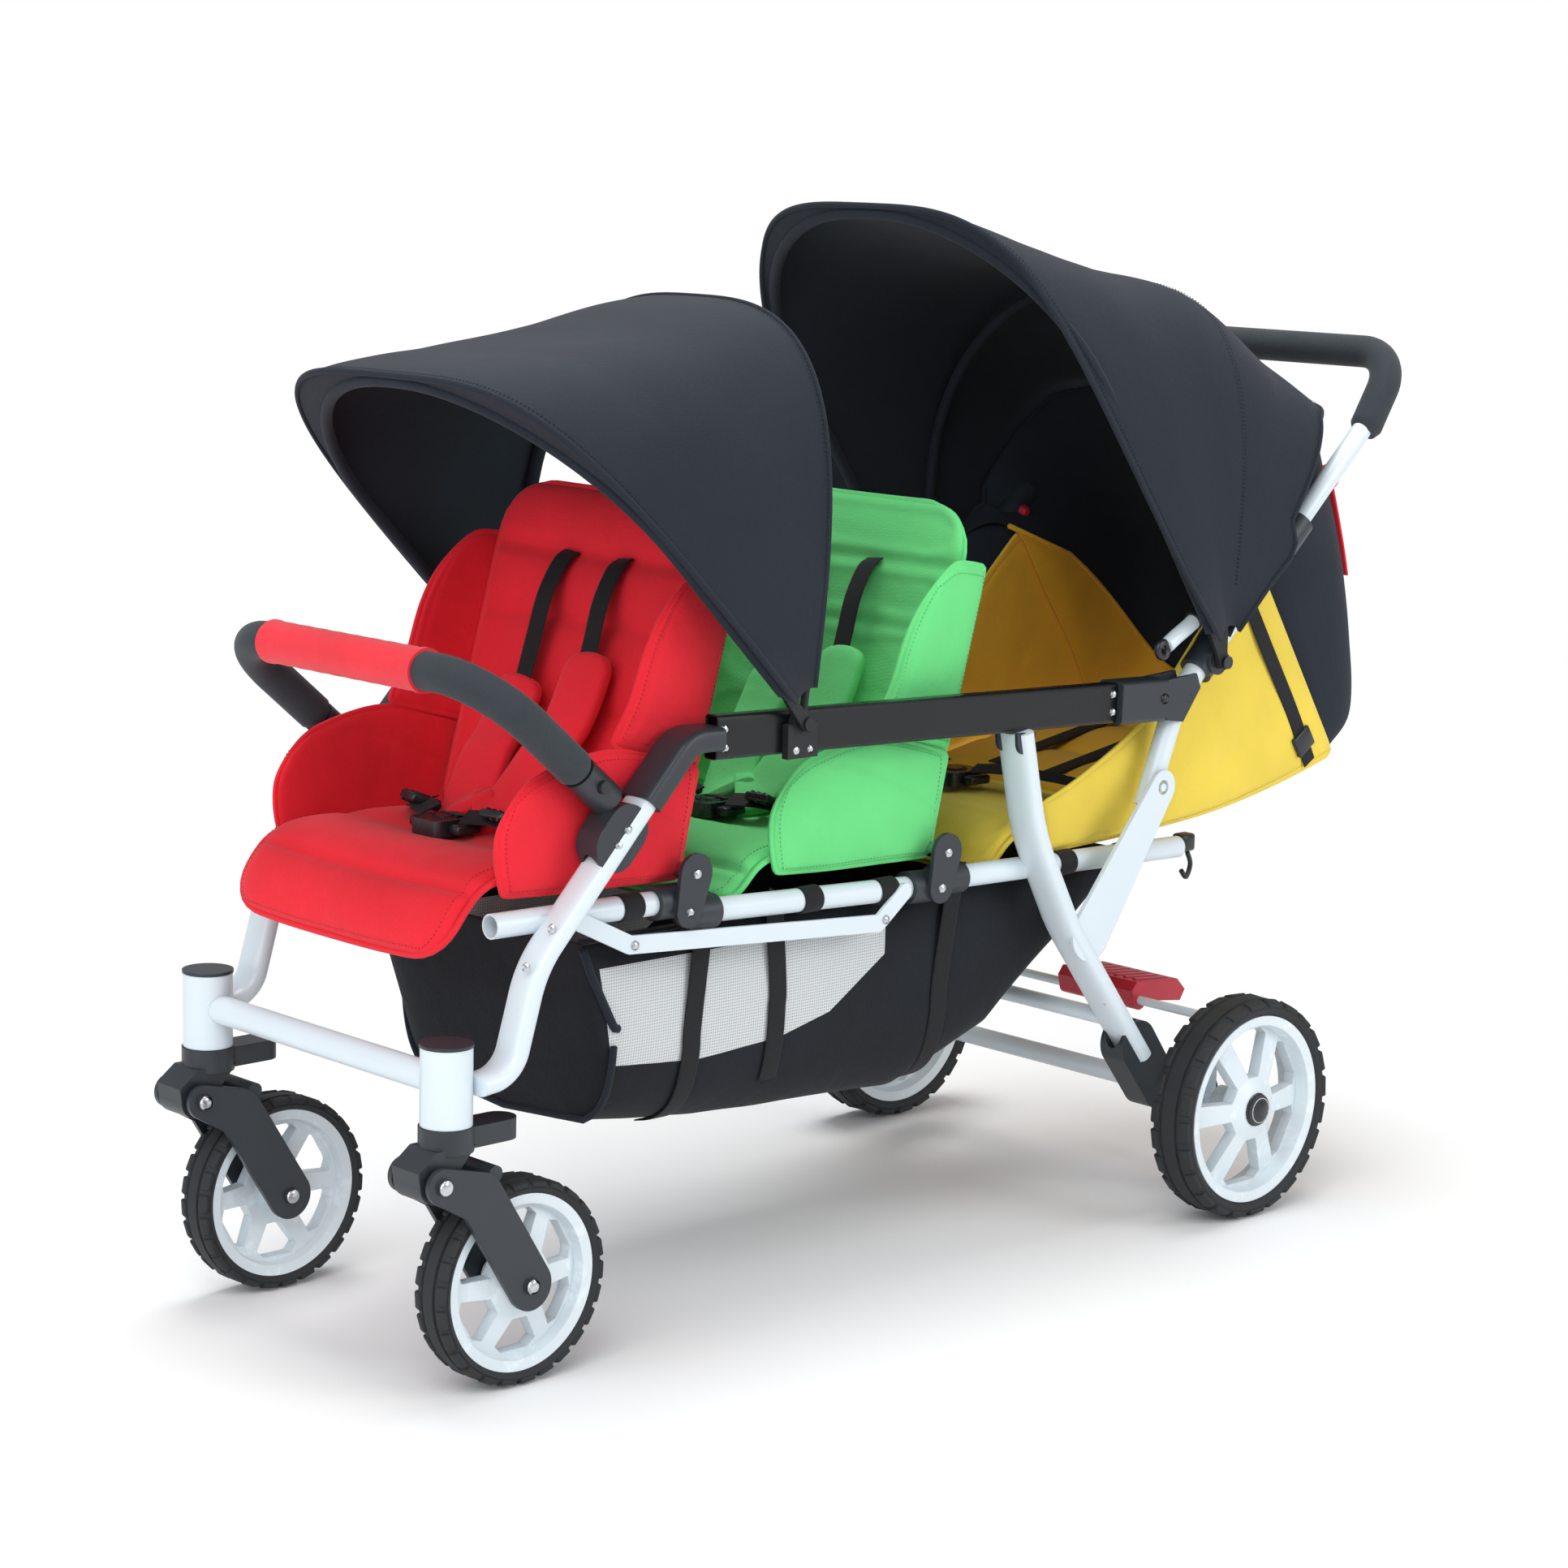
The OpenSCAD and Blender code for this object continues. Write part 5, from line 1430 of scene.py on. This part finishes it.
class STROLLER_OT_harness(StrollerStep, bpy.types.Operator):
    """Threads the harness webbing, its adjusters and its padded bib"""

    bl_idname = "stroller.harness"
    bl_label = "Harness"

    def web(self, name, run, normal, body, share=1.0):
        strap(name, run, self.sizes.webbing * share, WEB_THICK, normal, WEBBING, body)

    def upright(self, place, shift, lip, colour):
        seat = UprightSeat(shift, lip)
        cloth = seat_looks(colour)[0]
        back = f"{place}_backrest"
        for side, s in SIDES:
            drop = 0 if s > 0 else 34
            shoulder = ((286, 30, 40), (274, 42, 41), (240, 52, 42), (200, 54, 43), (168 - drop, 56, 44))
            run = [seat.on_back(up, out, x * s) for up, out, x in shoulder]
            self.web(f"{place}_shoulder_strap_{side}", run, BACK_OUT, back)
            run = [seat.spot(70, 507, 26 * s), seat.spot(84, 508, 60 * s), seat.spot(112, 500, 100 * s),
                   seat.spot(150, 493, 132 * s)]
            self.web(f"{place}_waist_strap_{side}", run, Vector((0, -0.5, 1)), "chassis")
            bm = bmesh.new()
            turn = Matrix.Rotation(math.radians(12 * s), 4, "Z") @ Matrix.Rotation(math.radians(-25), 4, "X")
            add_block(bm, (0.030, 0.034, 0.009), Matrix.Translation(seat.spot(86, 509, 62 * s)) @ turn, 0.003)
            for k in (-1, 0, 1):
                bar = Matrix.Translation(seat.spot(86, 509, (62 + 9 * k) * s)) @ turn
                add_block(bm, (0.003, 0.030, 0.012), bar, 0.001, 2)
            piece(f"{place}_waist_adjuster_{side}", bm, SMOOTH, "chassis", 40)
            bib = [seat.on_back(188 - drop, 52, 46 * s), seat.on_back(152 - drop * 0.8, 58, 48 * s),
                   seat.on_back(112 - drop * 0.5, 67, 47 * s), seat.on_back(76 - drop * 0.2, 84, 41 * s),
                   seat.spot(120, 512, 26 * s), seat.spot(98, 505, 6 * s)]
            path = spline(bib, 44)

            def lobe(t):
                full = math.sqrt(1 - (1 - min(1.0, (t + 0.006) / 0.14)) ** 2)
                return flat_section(0.064 * full, 0.019 * (0.25 + 0.75 * full), 0.62)

            count = len(path)
            normals = [(BACK_OUT + Vector((0, 0, k / count))).normalized() for k in range(count)]
            arm = tube(f"{place}_bib_arm_{side}", path, varying(lobe), lambda i: normals[i], cloth, None, 24,
                       None)
            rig.padded(arm, 0.7)
            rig.blend(arm, "chassis", back, start=seat.on_back(30, 0, 0), end=seat.on_back(120, 0, 0))
        run = seat.line((72, 506), (92, 503), (112, 496), (130, 488))
        self.web(f"{place}_crotch_strap", run, Vector((0, 0, 1)), "chassis", 1.2)

    def buckle(self, place, d, z):
        """Prongs at both sides and at the foot of a buckle, and studs round its button."""
        bm = bmesh.new()
        for s in (1, -1):
            add_block(bm, (0.016, 0.030, 0.010), Matrix.Translation(at(d + 2, z + 8, 31 * s)), 0.003)
        add_block(bm, (0.030, 0.014, 0.010), Matrix.Translation(at(d + 31, z + 9)), 0.003)
        for k in range(28):
            a = 2 * math.pi * k / 28
            spot = at(d, z + 16) + Vector((0.0125 * math.cos(a), 0.0125 * math.sin(a), 0))
            add_dome(bm, spot, Vector((0, 0, 1)), 0.0013, 0.0012)
        piece(f"{place}_buckle_prongs", bm, SMOOTH, "chassis", 40)

    def execute(self, context):
        for place, (shift, lip, colour) in UPRIGHT.items():
            self.upright(place, shift, lip, colour)
        for side, s in SIDES:
            run = [at(784, 482, 24 * s), at(796, 484, 60 * s), at(820, 480, 100 * s), at(850, 472, 138 * s)]
            self.web(f"rear_waist_strap_{side}", run, Vector((0, -0.3, 1)), "chassis")
            foot = REAR_SEAM + REAR_FACE * 0.036 + Vector((0.042 * s, 0, 0))
            run = [foot + REAR_RUN * (k / 1000) for k in (20, 80, 140, 200, 240)]
            self.web(f"rear_shoulder_strap_{side}", run, REAR_FACE, "rear_backrest")
        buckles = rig.box("buckles")
        for place, (d, z) in BUCKLES.items():
            self.buckle(place, d, z)
        if buckles[1].z < 0.4:
            raise RuntimeError("the buckles are not where the harness expects them")
        return {"FINISHED"}


# Canopies


def along(table, x):
    """Reads a value off a short table of (x, value) pairs, with straight stretches."""
    for (x0, y0), (x1, y1) in zip(table, table[1:]):
        if x <= x1:
            return y0 + (y1 - y0) * max(x - x0, 0.0) / (x1 - x0)
    return table[-1][1]


def fan_surface(pivot, foot, arches, sag, lean=0.0, hem=None):
    """Cloth over bows: u runs over an arch, v from the first arch to the last.

    An arch is its turn, its reach, half its width and its roundness. The first one leans forward at its feet.
    A hem gives the last one a turn of its own at each reach."""
    fans = [Vector(arch) for arch in arches]

    def surface(u, v):
        g = on_spline(fans, v)
        c, s = math.cos(math.pi * u), max(math.sin(math.pi * u), 0.0)
        r = foot + (g.y - foot) * s**g.w - sag(v) * s
        turn = g.x + lean * max(0.0, 1 - v / 0.3) ** 2 * max(0.0, 1 - r / (0.9 * g.y))
        if hem:
            turn += smooth(max(0.0, (v - 0.7) / 0.3)) * (along(hem, r) - arches[-1][0])
        a = math.radians(turn)
        return at(pivot[0] + r * math.cos(a), pivot[1] + r * math.sin(a), g.z * power(c, g.w))
    return surface


CANOPY_PIVOT = (331, 600)
CANOPY_ARCHES = [(135.5, 472, 239, 0.5), (120.5, 410, 237, 0.52), (102, 385, 235, 0.58), (83, 402, 232, 0.65)]
CANOPY_CLOTH = fan_surface(CANOPY_PIVOT, 36, CANOPY_ARCHES, lambda v: 4 * math.sin(math.pi * v) ** 2)
HOOD_PIVOT = (950.6, 611.4)
HOOD_ARCHES = [(125, 585, 250, 0.55), (115, 500, 246, 0.55), (102, 435, 241, 0.55), (85, 402, 238, 0.57),
               (66, 370, 236, 0.53), (46, 369, 234, 0.48)]
HOOD_HEM = [(40, 56), (95, 48.5), (150, 45), (168, 47), (182, 54), (235, 53.5), (317, 53), (348, 49),
            (369, 46)]
HEM_SECTION = flat_section(0.0052, 0.0066, 0.8)
MIDDLE_BOW = 0.6
BOW_CORNER = 218


def hood_sag(v):
    if v < MIDDLE_BOW:
        return 6 * abs(math.sin(math.pi * v / MIDDLE_BOW))
    return 7 * math.sin(math.pi * (v - MIDDLE_BOW) / (1 - MIDDLE_BOW))


HOOD_CLOTH = fan_surface(HOOD_PIVOT, 40, HOOD_ARCHES, hood_sag, 8.0, HOOD_HEM)


class CanopyStep(StrollerStep):
    """What both canopies share"""

    def cover(self, name, surface, node, rest, folds, seed, seams, taut=()):
        """The cloth with its hems and stitched seams, which folds from one body to the other."""
        sheet = cloth_sheet(name, surface, 110, 64, 0.0016, CANOPY, "stretched", rest, 0.002, seed, taut)
        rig.replaces(sheet, node)
        made = [sheet]
        for v, label in ((0.0, "front"), (1.0, "rear")):
            hem = edge_run(surface, v, 90)
            made.append(tube(f"{name}_{label}_hem", hem, HEM_SECTION, Vector((0, 0.3, 1)), CANOPY, None, 12,
                             None))
        for v in seams:
            out = 1 if normal_of(surface, 0.5, min(max(v, 0.02), 0.98)).z > 0 else -1
            normals = [normal_of(surface, k / 120, v) * out for k in range(1, 120)]
            line = [p + n * 0.0012 for p, n in zip(edge_run(surface, v, 120)[1:], normals)]
            made.append(stitches(f"{name}_stitches_{int(v * 1000)}", line, lambda i, rows=normals: rows[i],
                                 WEBBING, None, self.sizes.stitch))
        self.fold(made, folds)

    def fold(self, parts, folds):
        body, bow, start, end = folds
        for part in parts:
            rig.blend(part, body, bow, start=start, end=end)

    def sleeve(self, name, surface, v, pivot, turn, half, reach, start, rides, folds):
        """Sews a bow into a sleeve and joins the sleeve to an edge of the cloth with a facing."""
        line = even(u_path(pivot, math.radians(turn), half, reach, BOW_CORNER, start), 120)
        tube(f"{name}_sleeve", line, round_section(0.0062), Vector((0, 0.35, 0.5)), CANOPY, rides, 14, None)
        rim = even(edge_run(surface, v, 150), 120)

        def facing(u, w):
            k = min(int(u * 120), 119)
            return mix(mix(rim[k], rim[k + 1], u * 120 - k), mix(line[k], line[k + 1], u * 120 - k), w)

        made = cloth_sheet(f"{name}_facing", facing, 120, 4, 0.0016, CANOPY, "stretched", [f"{name}_bow"])
        self.fold([made], folds)


class STROLLER_OT_front_canopy(CanopyStep, bpy.types.Operator):
    """Stretches the front canopy over its two bows"""

    bl_idname = "stroller.front_canopy"
    bl_label = "Front canopy"

    def execute(self, context):
        cloth = CANOPY_CLOTH
        folds = ("chassis", "canopy_bow", cloth(0.5, 1.0), cloth(0.5, 0.0))
        self.cover("front_canopy_cloth", cloth, "front_canopy", ["canopy_rear_bow", "canopy_front_bow"],
                   folds, 21.0, (0.018, 0.03, 0.97, 0.985))
        self.sleeve("canopy_front", cloth, 0.0, CANOPY_PIVOT, 135.5, 228, 463, 48, "canopy_bow", folds)
        self.sleeve("canopy_rear", cloth, 1.0, CANOPY_PIVOT, 83, 220.5, 395, 44, "chassis", folds)
        return {"FINISHED"}


class STROLLER_OT_rear_hood(CanopyStep, bpy.types.Operator):
    """Stretches the rear hood over its two bows"""

    bl_idname = "stroller.rear_hood"
    bl_label = "Rear hood"

    def execute(self, context):
        rear, front = HOOD_CLOTH(0.5, 1.0), HOOD_CLOTH(0.5, 0.0)
        folds = ("handle", "hood_bow", rear + (rear - front) * 0.25, front)
        self.cover("rear_hood_cloth", HOOD_CLOTH, "rear_hood", ["hood_front_bow", "hood_middle_bow"], folds,
                   23.0, (0.014, 0.024, 0.594, 0.606, 0.975, 0.987), (MIDDLE_BOW,))
        line = even(u_path(HOOD_PIVOT, math.radians(85), 229, 395, BOW_CORNER, 44), 120)
        tube("hood_middle_sleeve", line, round_section(0.0058), Vector((0, 1, 0.1)), CANOPY,
             "hood_second_bow", 14, None)
        self.sleeve("hood_front", HOOD_CLOTH, 0.0, HOOD_PIVOT, 125, 234, 575, 44, "hood_bow", folds)
        return {"FINISHED"}


# Basket


BASKET_LINE = [(104, 402), (116, 330), (146, 206), (300, 190), (570, 174), (691, 214), (800, 306), (884, 402)]
BASKET_RIM = 402
# Hanging straps: place along the basket, place and height on the frame, and reach down the wall
BASKET_STRAPS = (("front", 0.379, 254, 424, 0.42), ("middle", 0.46, 347, 424, 0.2),
                 ("rear", 0.60, 606, 420, 0.42))


def basket(u, v):
    """The hammock of the basket: u from one rim under to the other, v from front to rear."""
    n = len(BASKET_LINE) - 1
    s = min(max(v, 0.0), 1.0) * n
    i = min(int(s), n - 1)
    a, b = BASKET_LINE[i], BASKET_LINE[i + 1]
    d, z = mix(a[0], b[0], s - i), mix(a[1], b[1], s - i)
    c, w = -math.cos(math.pi * u), max(math.sin(math.pi * u), 0.0)
    deep = max(BASKET_RIM - z, 0.8)
    belly = 5 * math.sin(math.pi * min(max((v - 0.25) / 0.5, 0), 1)) * w**4
    return at(d, BASKET_RIM - deep * w**0.4 - belly, 163.0 * power(c, 0.4))


class STROLLER_OT_basket(StrollerStep, bpy.types.Operator):
    """Hangs the basket with its net windows, binding and straps"""

    bl_idname = "stroller.basket"
    bl_label = "Basket"

    def out(self, u, v, lift):
        """A point lifted off the outside of the basket."""
        p = basket(u, v)
        n = normal_of(basket, u, v)
        return p + n * (lift if n.dot(p - at(480, 320)) > 0 else -lift)

    def execute(self, context):
        sheet = cloth_sheet("basket_cloth_shell", basket, 84, 112, 0.0014, BASKET, "hung", ["seat_tubes"],
                            0.0025, 31.0)
        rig.ride(sheet, "chassis")
        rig.replaces(sheet, "basket")
        for side, u in (("right", 0.0), ("left", 1.0)):
            rim = [basket(u, k / 80) + Vector((0, 0, 0.001)) for k in range(81)]
            tube(f"basket_rim_binding_{side}", thin(rim, 0.003), flat_section(0.004, 0.014, 0.6), X_AXIS,
                 CANOPY, "chassis", 12, None)
            seam = [self.out(abs(u - 0.045), 0.02 + 0.27 * k / 40, 0.002) for k in range(41)]
            piping(f"basket_corner_piping_{side}", seam, 0.0042, CANOPY, "chassis", False)
            s = 1 if u > 0.5 else -1
            for label, v, d, tall, low in BASKET_STRAPS:
                run = [at(d, tall, 176 * s), at(d, 410, 172 * s)]
                run += [self.out(abs(u - low * k / 9), v, 0.003) for k in range(1, 10)]
                strap(f"basket_strap_{label}_{side}", run, 0.024, 0.0016, Vector((s, 0, 0.02)), WEBBING,
                      "chassis", 60)
        spread = (0.5 + 0.5 * power(math.cos(math.pi * k / 40), 0.4) * 0.86 for k in range(41))
        foot = [self.out(u, 0.2857, 0.002) for u in spread]
        piping("basket_floor_piping", foot, 0.0035, CANOPY, "chassis", False)
        return {"FINISHED"}


# Small hardware


# Each seat tube's two ends, and the places of its webbing loops
SEAT_TUBES = [((-22, 438), (213, 434), (144,)), ((216, 420), (559, 405), (381, 489)),
              ((562, 410), (948, 400), (758, 859))]
LOOP_RADIUS = 12.9
REAR_AXLE, REAR_AXLE_HEIGHT = 965, 0.1226
HUB_CAP_RADIUS, HUB_CAP_HEIGHT, HUB_CAP_OVERLAP = 0.02, 0.0115, 0.009
FORK_BOLTS = ((0, 100), (-104, 214))
FRAME_RIVETS = [
    (-7, 404, 214.8), (23, 436, 214.8), (235, 602, 213.8), (236, 584, 213.8), (794, 587, 213.8),
    (794, 568, 213.8), (99, 505, 219.9), (110, 519, 219.9), (141, 401, 196.7), (478, 382, 196.7),
    (214, 462, 202.4), (206, 426, 202.4), (561, 442, 202.4), (553, 406, 202.4),
]


class STROLLER_OT_hardware(StrollerStep, bpy.types.Operator):
    """Adds rivets, screws, push buttons, webbing loops, the bag hook and the hood's stub"""

    bl_idname = "stroller.hardware"
    bl_label = "Small hardware"

    def heads(self, name, body, spots, look, radius, height, out=1):
        """Domed heads at both sides, facing outwards or inwards."""
        bm = bmesh.new()
        for d, z, x in spots:
            for s in (1, -1):
                add_dome(bm, at(d, z, x * s), Vector((out * s, 0, 0)), radius, height)
        piece(name, bm, look, body, 40)

    def wheel_ends(self, side, s):
        """The rear hub's cap over the axle's end, and the bolts of a fork."""
        ends = [abs(corner.x) for corner in (*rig.box(f"rear_rim_{side}"), *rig.box("rear_axle"))]
        middle = Vector(((max(ends) - HUB_CAP_OVERLAP) * s, at(REAR_AXLE, 0).y, REAR_AXLE_HEIGHT))
        bm = bmesh.new()
        add_dome(bm, middle, X_AXIS * s, HUB_CAP_RADIUS, HUB_CAP_HEIGHT)
        piece(f"rear_hub_cap_{side}", bm, SMOOTH, f"rear_wheel_{side}", 40)
        low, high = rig.box(f"caster_fork_{side}")
        bm = bmesh.new()
        for x, facing in ((low.x, -1), (high.x, 1)):
            for d, z in FORK_BOLTS:
                add_dome(bm, at(d, z, x * 1000), X_AXIS * facing, 0.0075, 0.003)
        piece(f"fork_bolts_{side}", bm, STEEL, f"fork_{side}", 40)

    def tube_loops(self):
        """Webbing loops round the seat tubes."""
        r = LOOP_RADIUS
        bm = bmesh.new()
        for (d0, z0), (d1, z1), spots in SEAT_TUBES:
            for d in spots:
                z = z0 + (z1 - z0) * (d - d0) / (d1 - d0)
                for x in (SEAT_TUBE_SIDE, -SEAT_TUBE_SIDE):
                    turns = (k * math.pi / 18 for k in range(36))
                    ring = [at(d, z + r * math.sin(a), x + r * math.cos(a)) for a in turns]
                    loft(bm, ring, flat_section(0.0016, 0.026), Vector((0, 1, 0)), 12, True)
        piece("seat_tube_loops", bm, WEBBING, "chassis", 60)

    def hood_stub(self, side, s):
        x = STUB_SIDE * s
        stub = side_line([(938, 667), (908, 650), (890, 641), (876, 633)], x)
        collar = [at(950, 674, x), stub[0], at(918, 656, x)]
        tube(f"hood_stub_{side}", stub, round_section(0.0085), X_AXIS, WHITE, "handle")
        tube(f"hood_stub_collar_{side}", collar, round_section(0.0108), X_AXIS, SMOOTH, "handle")
        eye = circle(870, 629, x, 8, 24)
        tube(f"hood_stub_eye_{side}", eye, round_section(0.004), X_AXIS, SMOOTH, "handle", 12, None, True)

    def execute(self, context):
        self.heads("frame_rivets", "chassis", FRAME_RIVETS, STEEL, 0.0048, 0.0032)
        self.heads("elbow_bolts", "chassis", [(150, 556, 216.9), (868, 577, 222.2)], SMOOTH, 0.006, 0.003)
        rivets = [(751, 336, 215.8), (775, 291, 215.8), (800, 253, 215.8)]
        self.heads("rear_leg_rivets", "rear_frame", rivets, STEEL, 0.0048, 0.0032)
        self.heads("collar_bolts", "handle", [(1059, 712, 222.3)], STEEL, 0.005, 0.004)
        self.heads("collar_buttons", "handle", [(1080, 731, 187.7)], BUTTON, 0.008, 0.008, -1)
        screws = [(322, 574, 222.4), (341, 574, 222.4)]
        self.heads("canopy_clip_screws", "chassis", screws, STEEL, 0.004, 0.002)
        for side, s in SIDES:
            self.wheel_ends(side, s)
        self.tube_loops()
        for side, s in SIDES:
            self.hood_stub(side, s)
        bm = bmesh.new()
        for s in (1, -1):
            x = SEAT_TUBE_SIDE * s
            add_block(bm, (0.018, 0.022, 0.020), Matrix.Translation(at(959, 404, x)), 0.004)
            hook = side_line([(966, 392), (972, 378), (966, 364), (957, 372)], x)
            loft(bm, spline(hook, 20), round_section(0.0028), X_AXIS, 12)
        piece("bag_hooks", bm, SMOOTH, "chassis", 40)
        return {"FINISHED"}


# Stage


# Lamps: place, target, size and watts
LAMPS = {
    "key": ((2.2, -3.2, 3.6), (0, 0, 0.5), 3.4, 105),
    "fill": ((3.6, 1.6, 2.0), (0, 0, 0.5), 2.6, 60),
    "front": ((0.4, -4.4, 1.3), (0, -0.2, 0.6), 2.6, 36),
    "top": ((-0.6, 0.2, 4.2), (0, 0, 0.4), 2.6, 110),
}
# The camera fitted to the photo: its focal length in pixels of the photo's width, its place and its turns
PHOTO_WIDTH = 1932
FOCAL_PIXELS = 4459.83
SENSOR = 36.0
EYE = Vector((2.7101, -2.0746 - FRONT_REACH / 1000, 1.1498))
EYE_TURN, EYE_DIP, EYE_ROLL = (math.radians(k) for k in (46.248, 9.996, 1.378))
AMBIENT = (0.94, 0.97, 1.0, 1)
AMBIENT_STRENGTH = 0.46
FLOOR_FADE = (0.55, 1.5)


class STROLLER_OT_stage(StrollerStep, bpy.types.Operator):
    """Sets the floor, the lights and the camera"""

    bl_idname = "stroller.stage"
    bl_label = "Stage"

    def floor(self, scene):
        """A floor that catches shadows and fades to white."""
        bm = bmesh.new()
        bmesh.ops.create_grid(bm, x_segments=8, y_segments=8, size=30)
        mesh = bpy.data.meshes.new("studio_floor")
        bm.to_mesh(mesh)
        bm.free()
        floor = bpy.data.objects.new("studio_floor", mesh)
        scene.collection.objects.link(floor)
        f = Finish("studio_floor", roughness=0.9)
        f.shader.inputs["Base Color"].default_value = (0.92, 0.92, 0.92, 1)
        rays = f.node("ShaderNodeLightPath", {}, {}).out.node.outputs
        kinds = ("Camera", "Glossy", "Transmission")
        camera, glossy, through = (Socket(f, rays[f"Is {kind} Ray"]) for kind in kinds)
        away = f.node("ShaderNodeVectorMath", {"operation": "LENGTH"}, {0: f.place}, "Value")
        fade = f.node("ShaderNodeMapRange", {"interpolation_type": "SMOOTHSTEP"},
                      {"Value": away, "From Min": FLOOR_FADE[0], "From Max": FLOOR_FADE[1]})
        glow = f.node("ShaderNodeEmission", {}, {"Color": (1, 1, 1, 1), "Strength": 1.0})
        lit = Socket(f, f.shader.outputs[0])
        both = f.node("ShaderNodeMixShader", {}, {0: fade * (camera + glossy + through), 1: lit, 2: glow})
        out = next(n for n in f.tree.nodes if n.type == "OUTPUT_MATERIAL")
        f.tree.links.new(both.out, out.inputs["Surface"])
        mesh.materials.append(f.material)
        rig.stage(floor)

    def world(self, scene):
        """White to the camera, and a soft cool light to everything else."""
        world = bpy.data.worlds.new("studio")
        scene.world = world
        world.use_nodes = True
        nodes, links = world.node_tree.nodes, world.node_tree.links
        nodes.clear()
        path = nodes.new("ShaderNodeLightPath")
        some = nodes.new("ShaderNodeMath")
        some.operation = "MAXIMUM"
        blend = nodes.new("ShaderNodeMixShader")
        for k, ray in enumerate(("Is Camera Ray", "Is Transmission Ray")):
            links.new(path.outputs[ray], some.inputs[k])
        links.new(some.outputs[0], blend.inputs[0])
        for k, (colour, strength) in enumerate(((AMBIENT, AMBIENT_STRENGTH), ((1, 1, 1, 1), 1.0))):
            light = nodes.new("ShaderNodeBackground")
            light.inputs[0].default_value = colour
            light.inputs[1].default_value = strength
            links.new(light.outputs[0], blend.inputs[k + 1])
        links.new(blend.outputs[0], nodes.new("ShaderNodeOutputWorld").inputs[0])

    def lamp(self, scene, name, place, target, size, watts):
        light = bpy.data.lights.new(name, "AREA")
        light.shape = "DISK"
        light.size = size
        light.energy = watts
        obj = bpy.data.objects.new(name, light)
        scene.collection.objects.link(obj)
        obj.location = place
        obj.rotation_euler = (Vector(target) - Vector(place)).to_track_quat("-Z", "Y").to_euler()

    def camera(self, scene):
        lens = bpy.data.cameras.new("view")
        lens.sensor_width = SENSOR
        lens.lens = FOCAL_PIXELS / PHOTO_WIDTH * SENSOR
        eye = bpy.data.objects.new("view", lens)
        scene.collection.objects.link(eye)
        back = Vector((math.sin(EYE_TURN) * math.cos(EYE_DIP), -math.cos(EYE_TURN) * math.cos(EYE_DIP),
                       math.sin(EYE_DIP)))
        level = Vector((math.cos(EYE_TURN), math.sin(EYE_TURN), 0))
        up = back.cross(level)
        right = level * math.cos(EYE_ROLL) + up * math.sin(EYE_ROLL)
        up = up * math.cos(EYE_ROLL) - level * math.sin(EYE_ROLL)
        place = Matrix((right, up, back)).transposed().to_4x4()
        place.translation = EYE
        eye.matrix_world = place
        scene.camera = eye

    def execute(self, context):
        scene = bpy.context.scene
        self.floor(scene)
        self.world(scene)
        for name, (place, target, size, watts) in LAMPS.items():
            self.lamp(scene, name, place, target, size, watts)
        scene.view_settings.view_transform = "Standard"
        self.camera(scene)
        return {"FINISHED"}


STEPS = (
    STROLLER_OT_finishes, STROLLER_OT_stage, STROLLER_OT_legs, STROLLER_OT_tyres, STROLLER_OT_bumper,
    STROLLER_OT_grip, STROLLER_OT_upright_seats, STROLLER_OT_rear_seat, STROLLER_OT_harness,
    STROLLER_OT_front_canopy, STROLLER_OT_rear_hood, STROLLER_OT_basket, STROLLER_OT_hardware,
)


class STROLLER_PT_dressing(bpy.types.Panel):
    """Lists the steps and the values that a user would change"""

    bl_idname = "STROLLER_PT_dressing"
    bl_label = "Stroller dressing"
    bl_space_type = "VIEW_3D"
    bl_region_type = "UI"
    bl_category = "Stroller"

    def draw(self, context):
        for group in (context.scene.stroller_colours, context.scene.stroller_sizes):
            box = self.layout.box()
            for key in group.__annotations__:
                box.prop(group, key)
        for step in STEPS:
            self.layout.operator(step.bl_idname)


CLASSES = (StrollerColours, StrollerSizes, *STEPS, STROLLER_PT_dressing)


def register():
    for cls in CLASSES:
        bpy.utils.register_class(cls)
    bpy.types.Scene.stroller_colours = PointerProperty(type=StrollerColours)
    bpy.types.Scene.stroller_sizes = PointerProperty(type=StrollerSizes)


def unregister():
    del bpy.types.Scene.stroller_sizes
    del bpy.types.Scene.stroller_colours
    for cls in reversed(CLASSES):
        bpy.utils.unregister_class(cls)


def main():
    register()
    for step in STEPS:
        family, name = step.bl_idname.split(".")
        getattr(getattr(bpy.ops, family), name)()
    sizes = {"cad": [list(p) for p in CAD_BOX], "visual": [list(p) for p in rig.bounds()]}
    with open("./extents.json", "w") as out:
        json.dump(sizes, out)


if __name__ == "__main__":
    main()
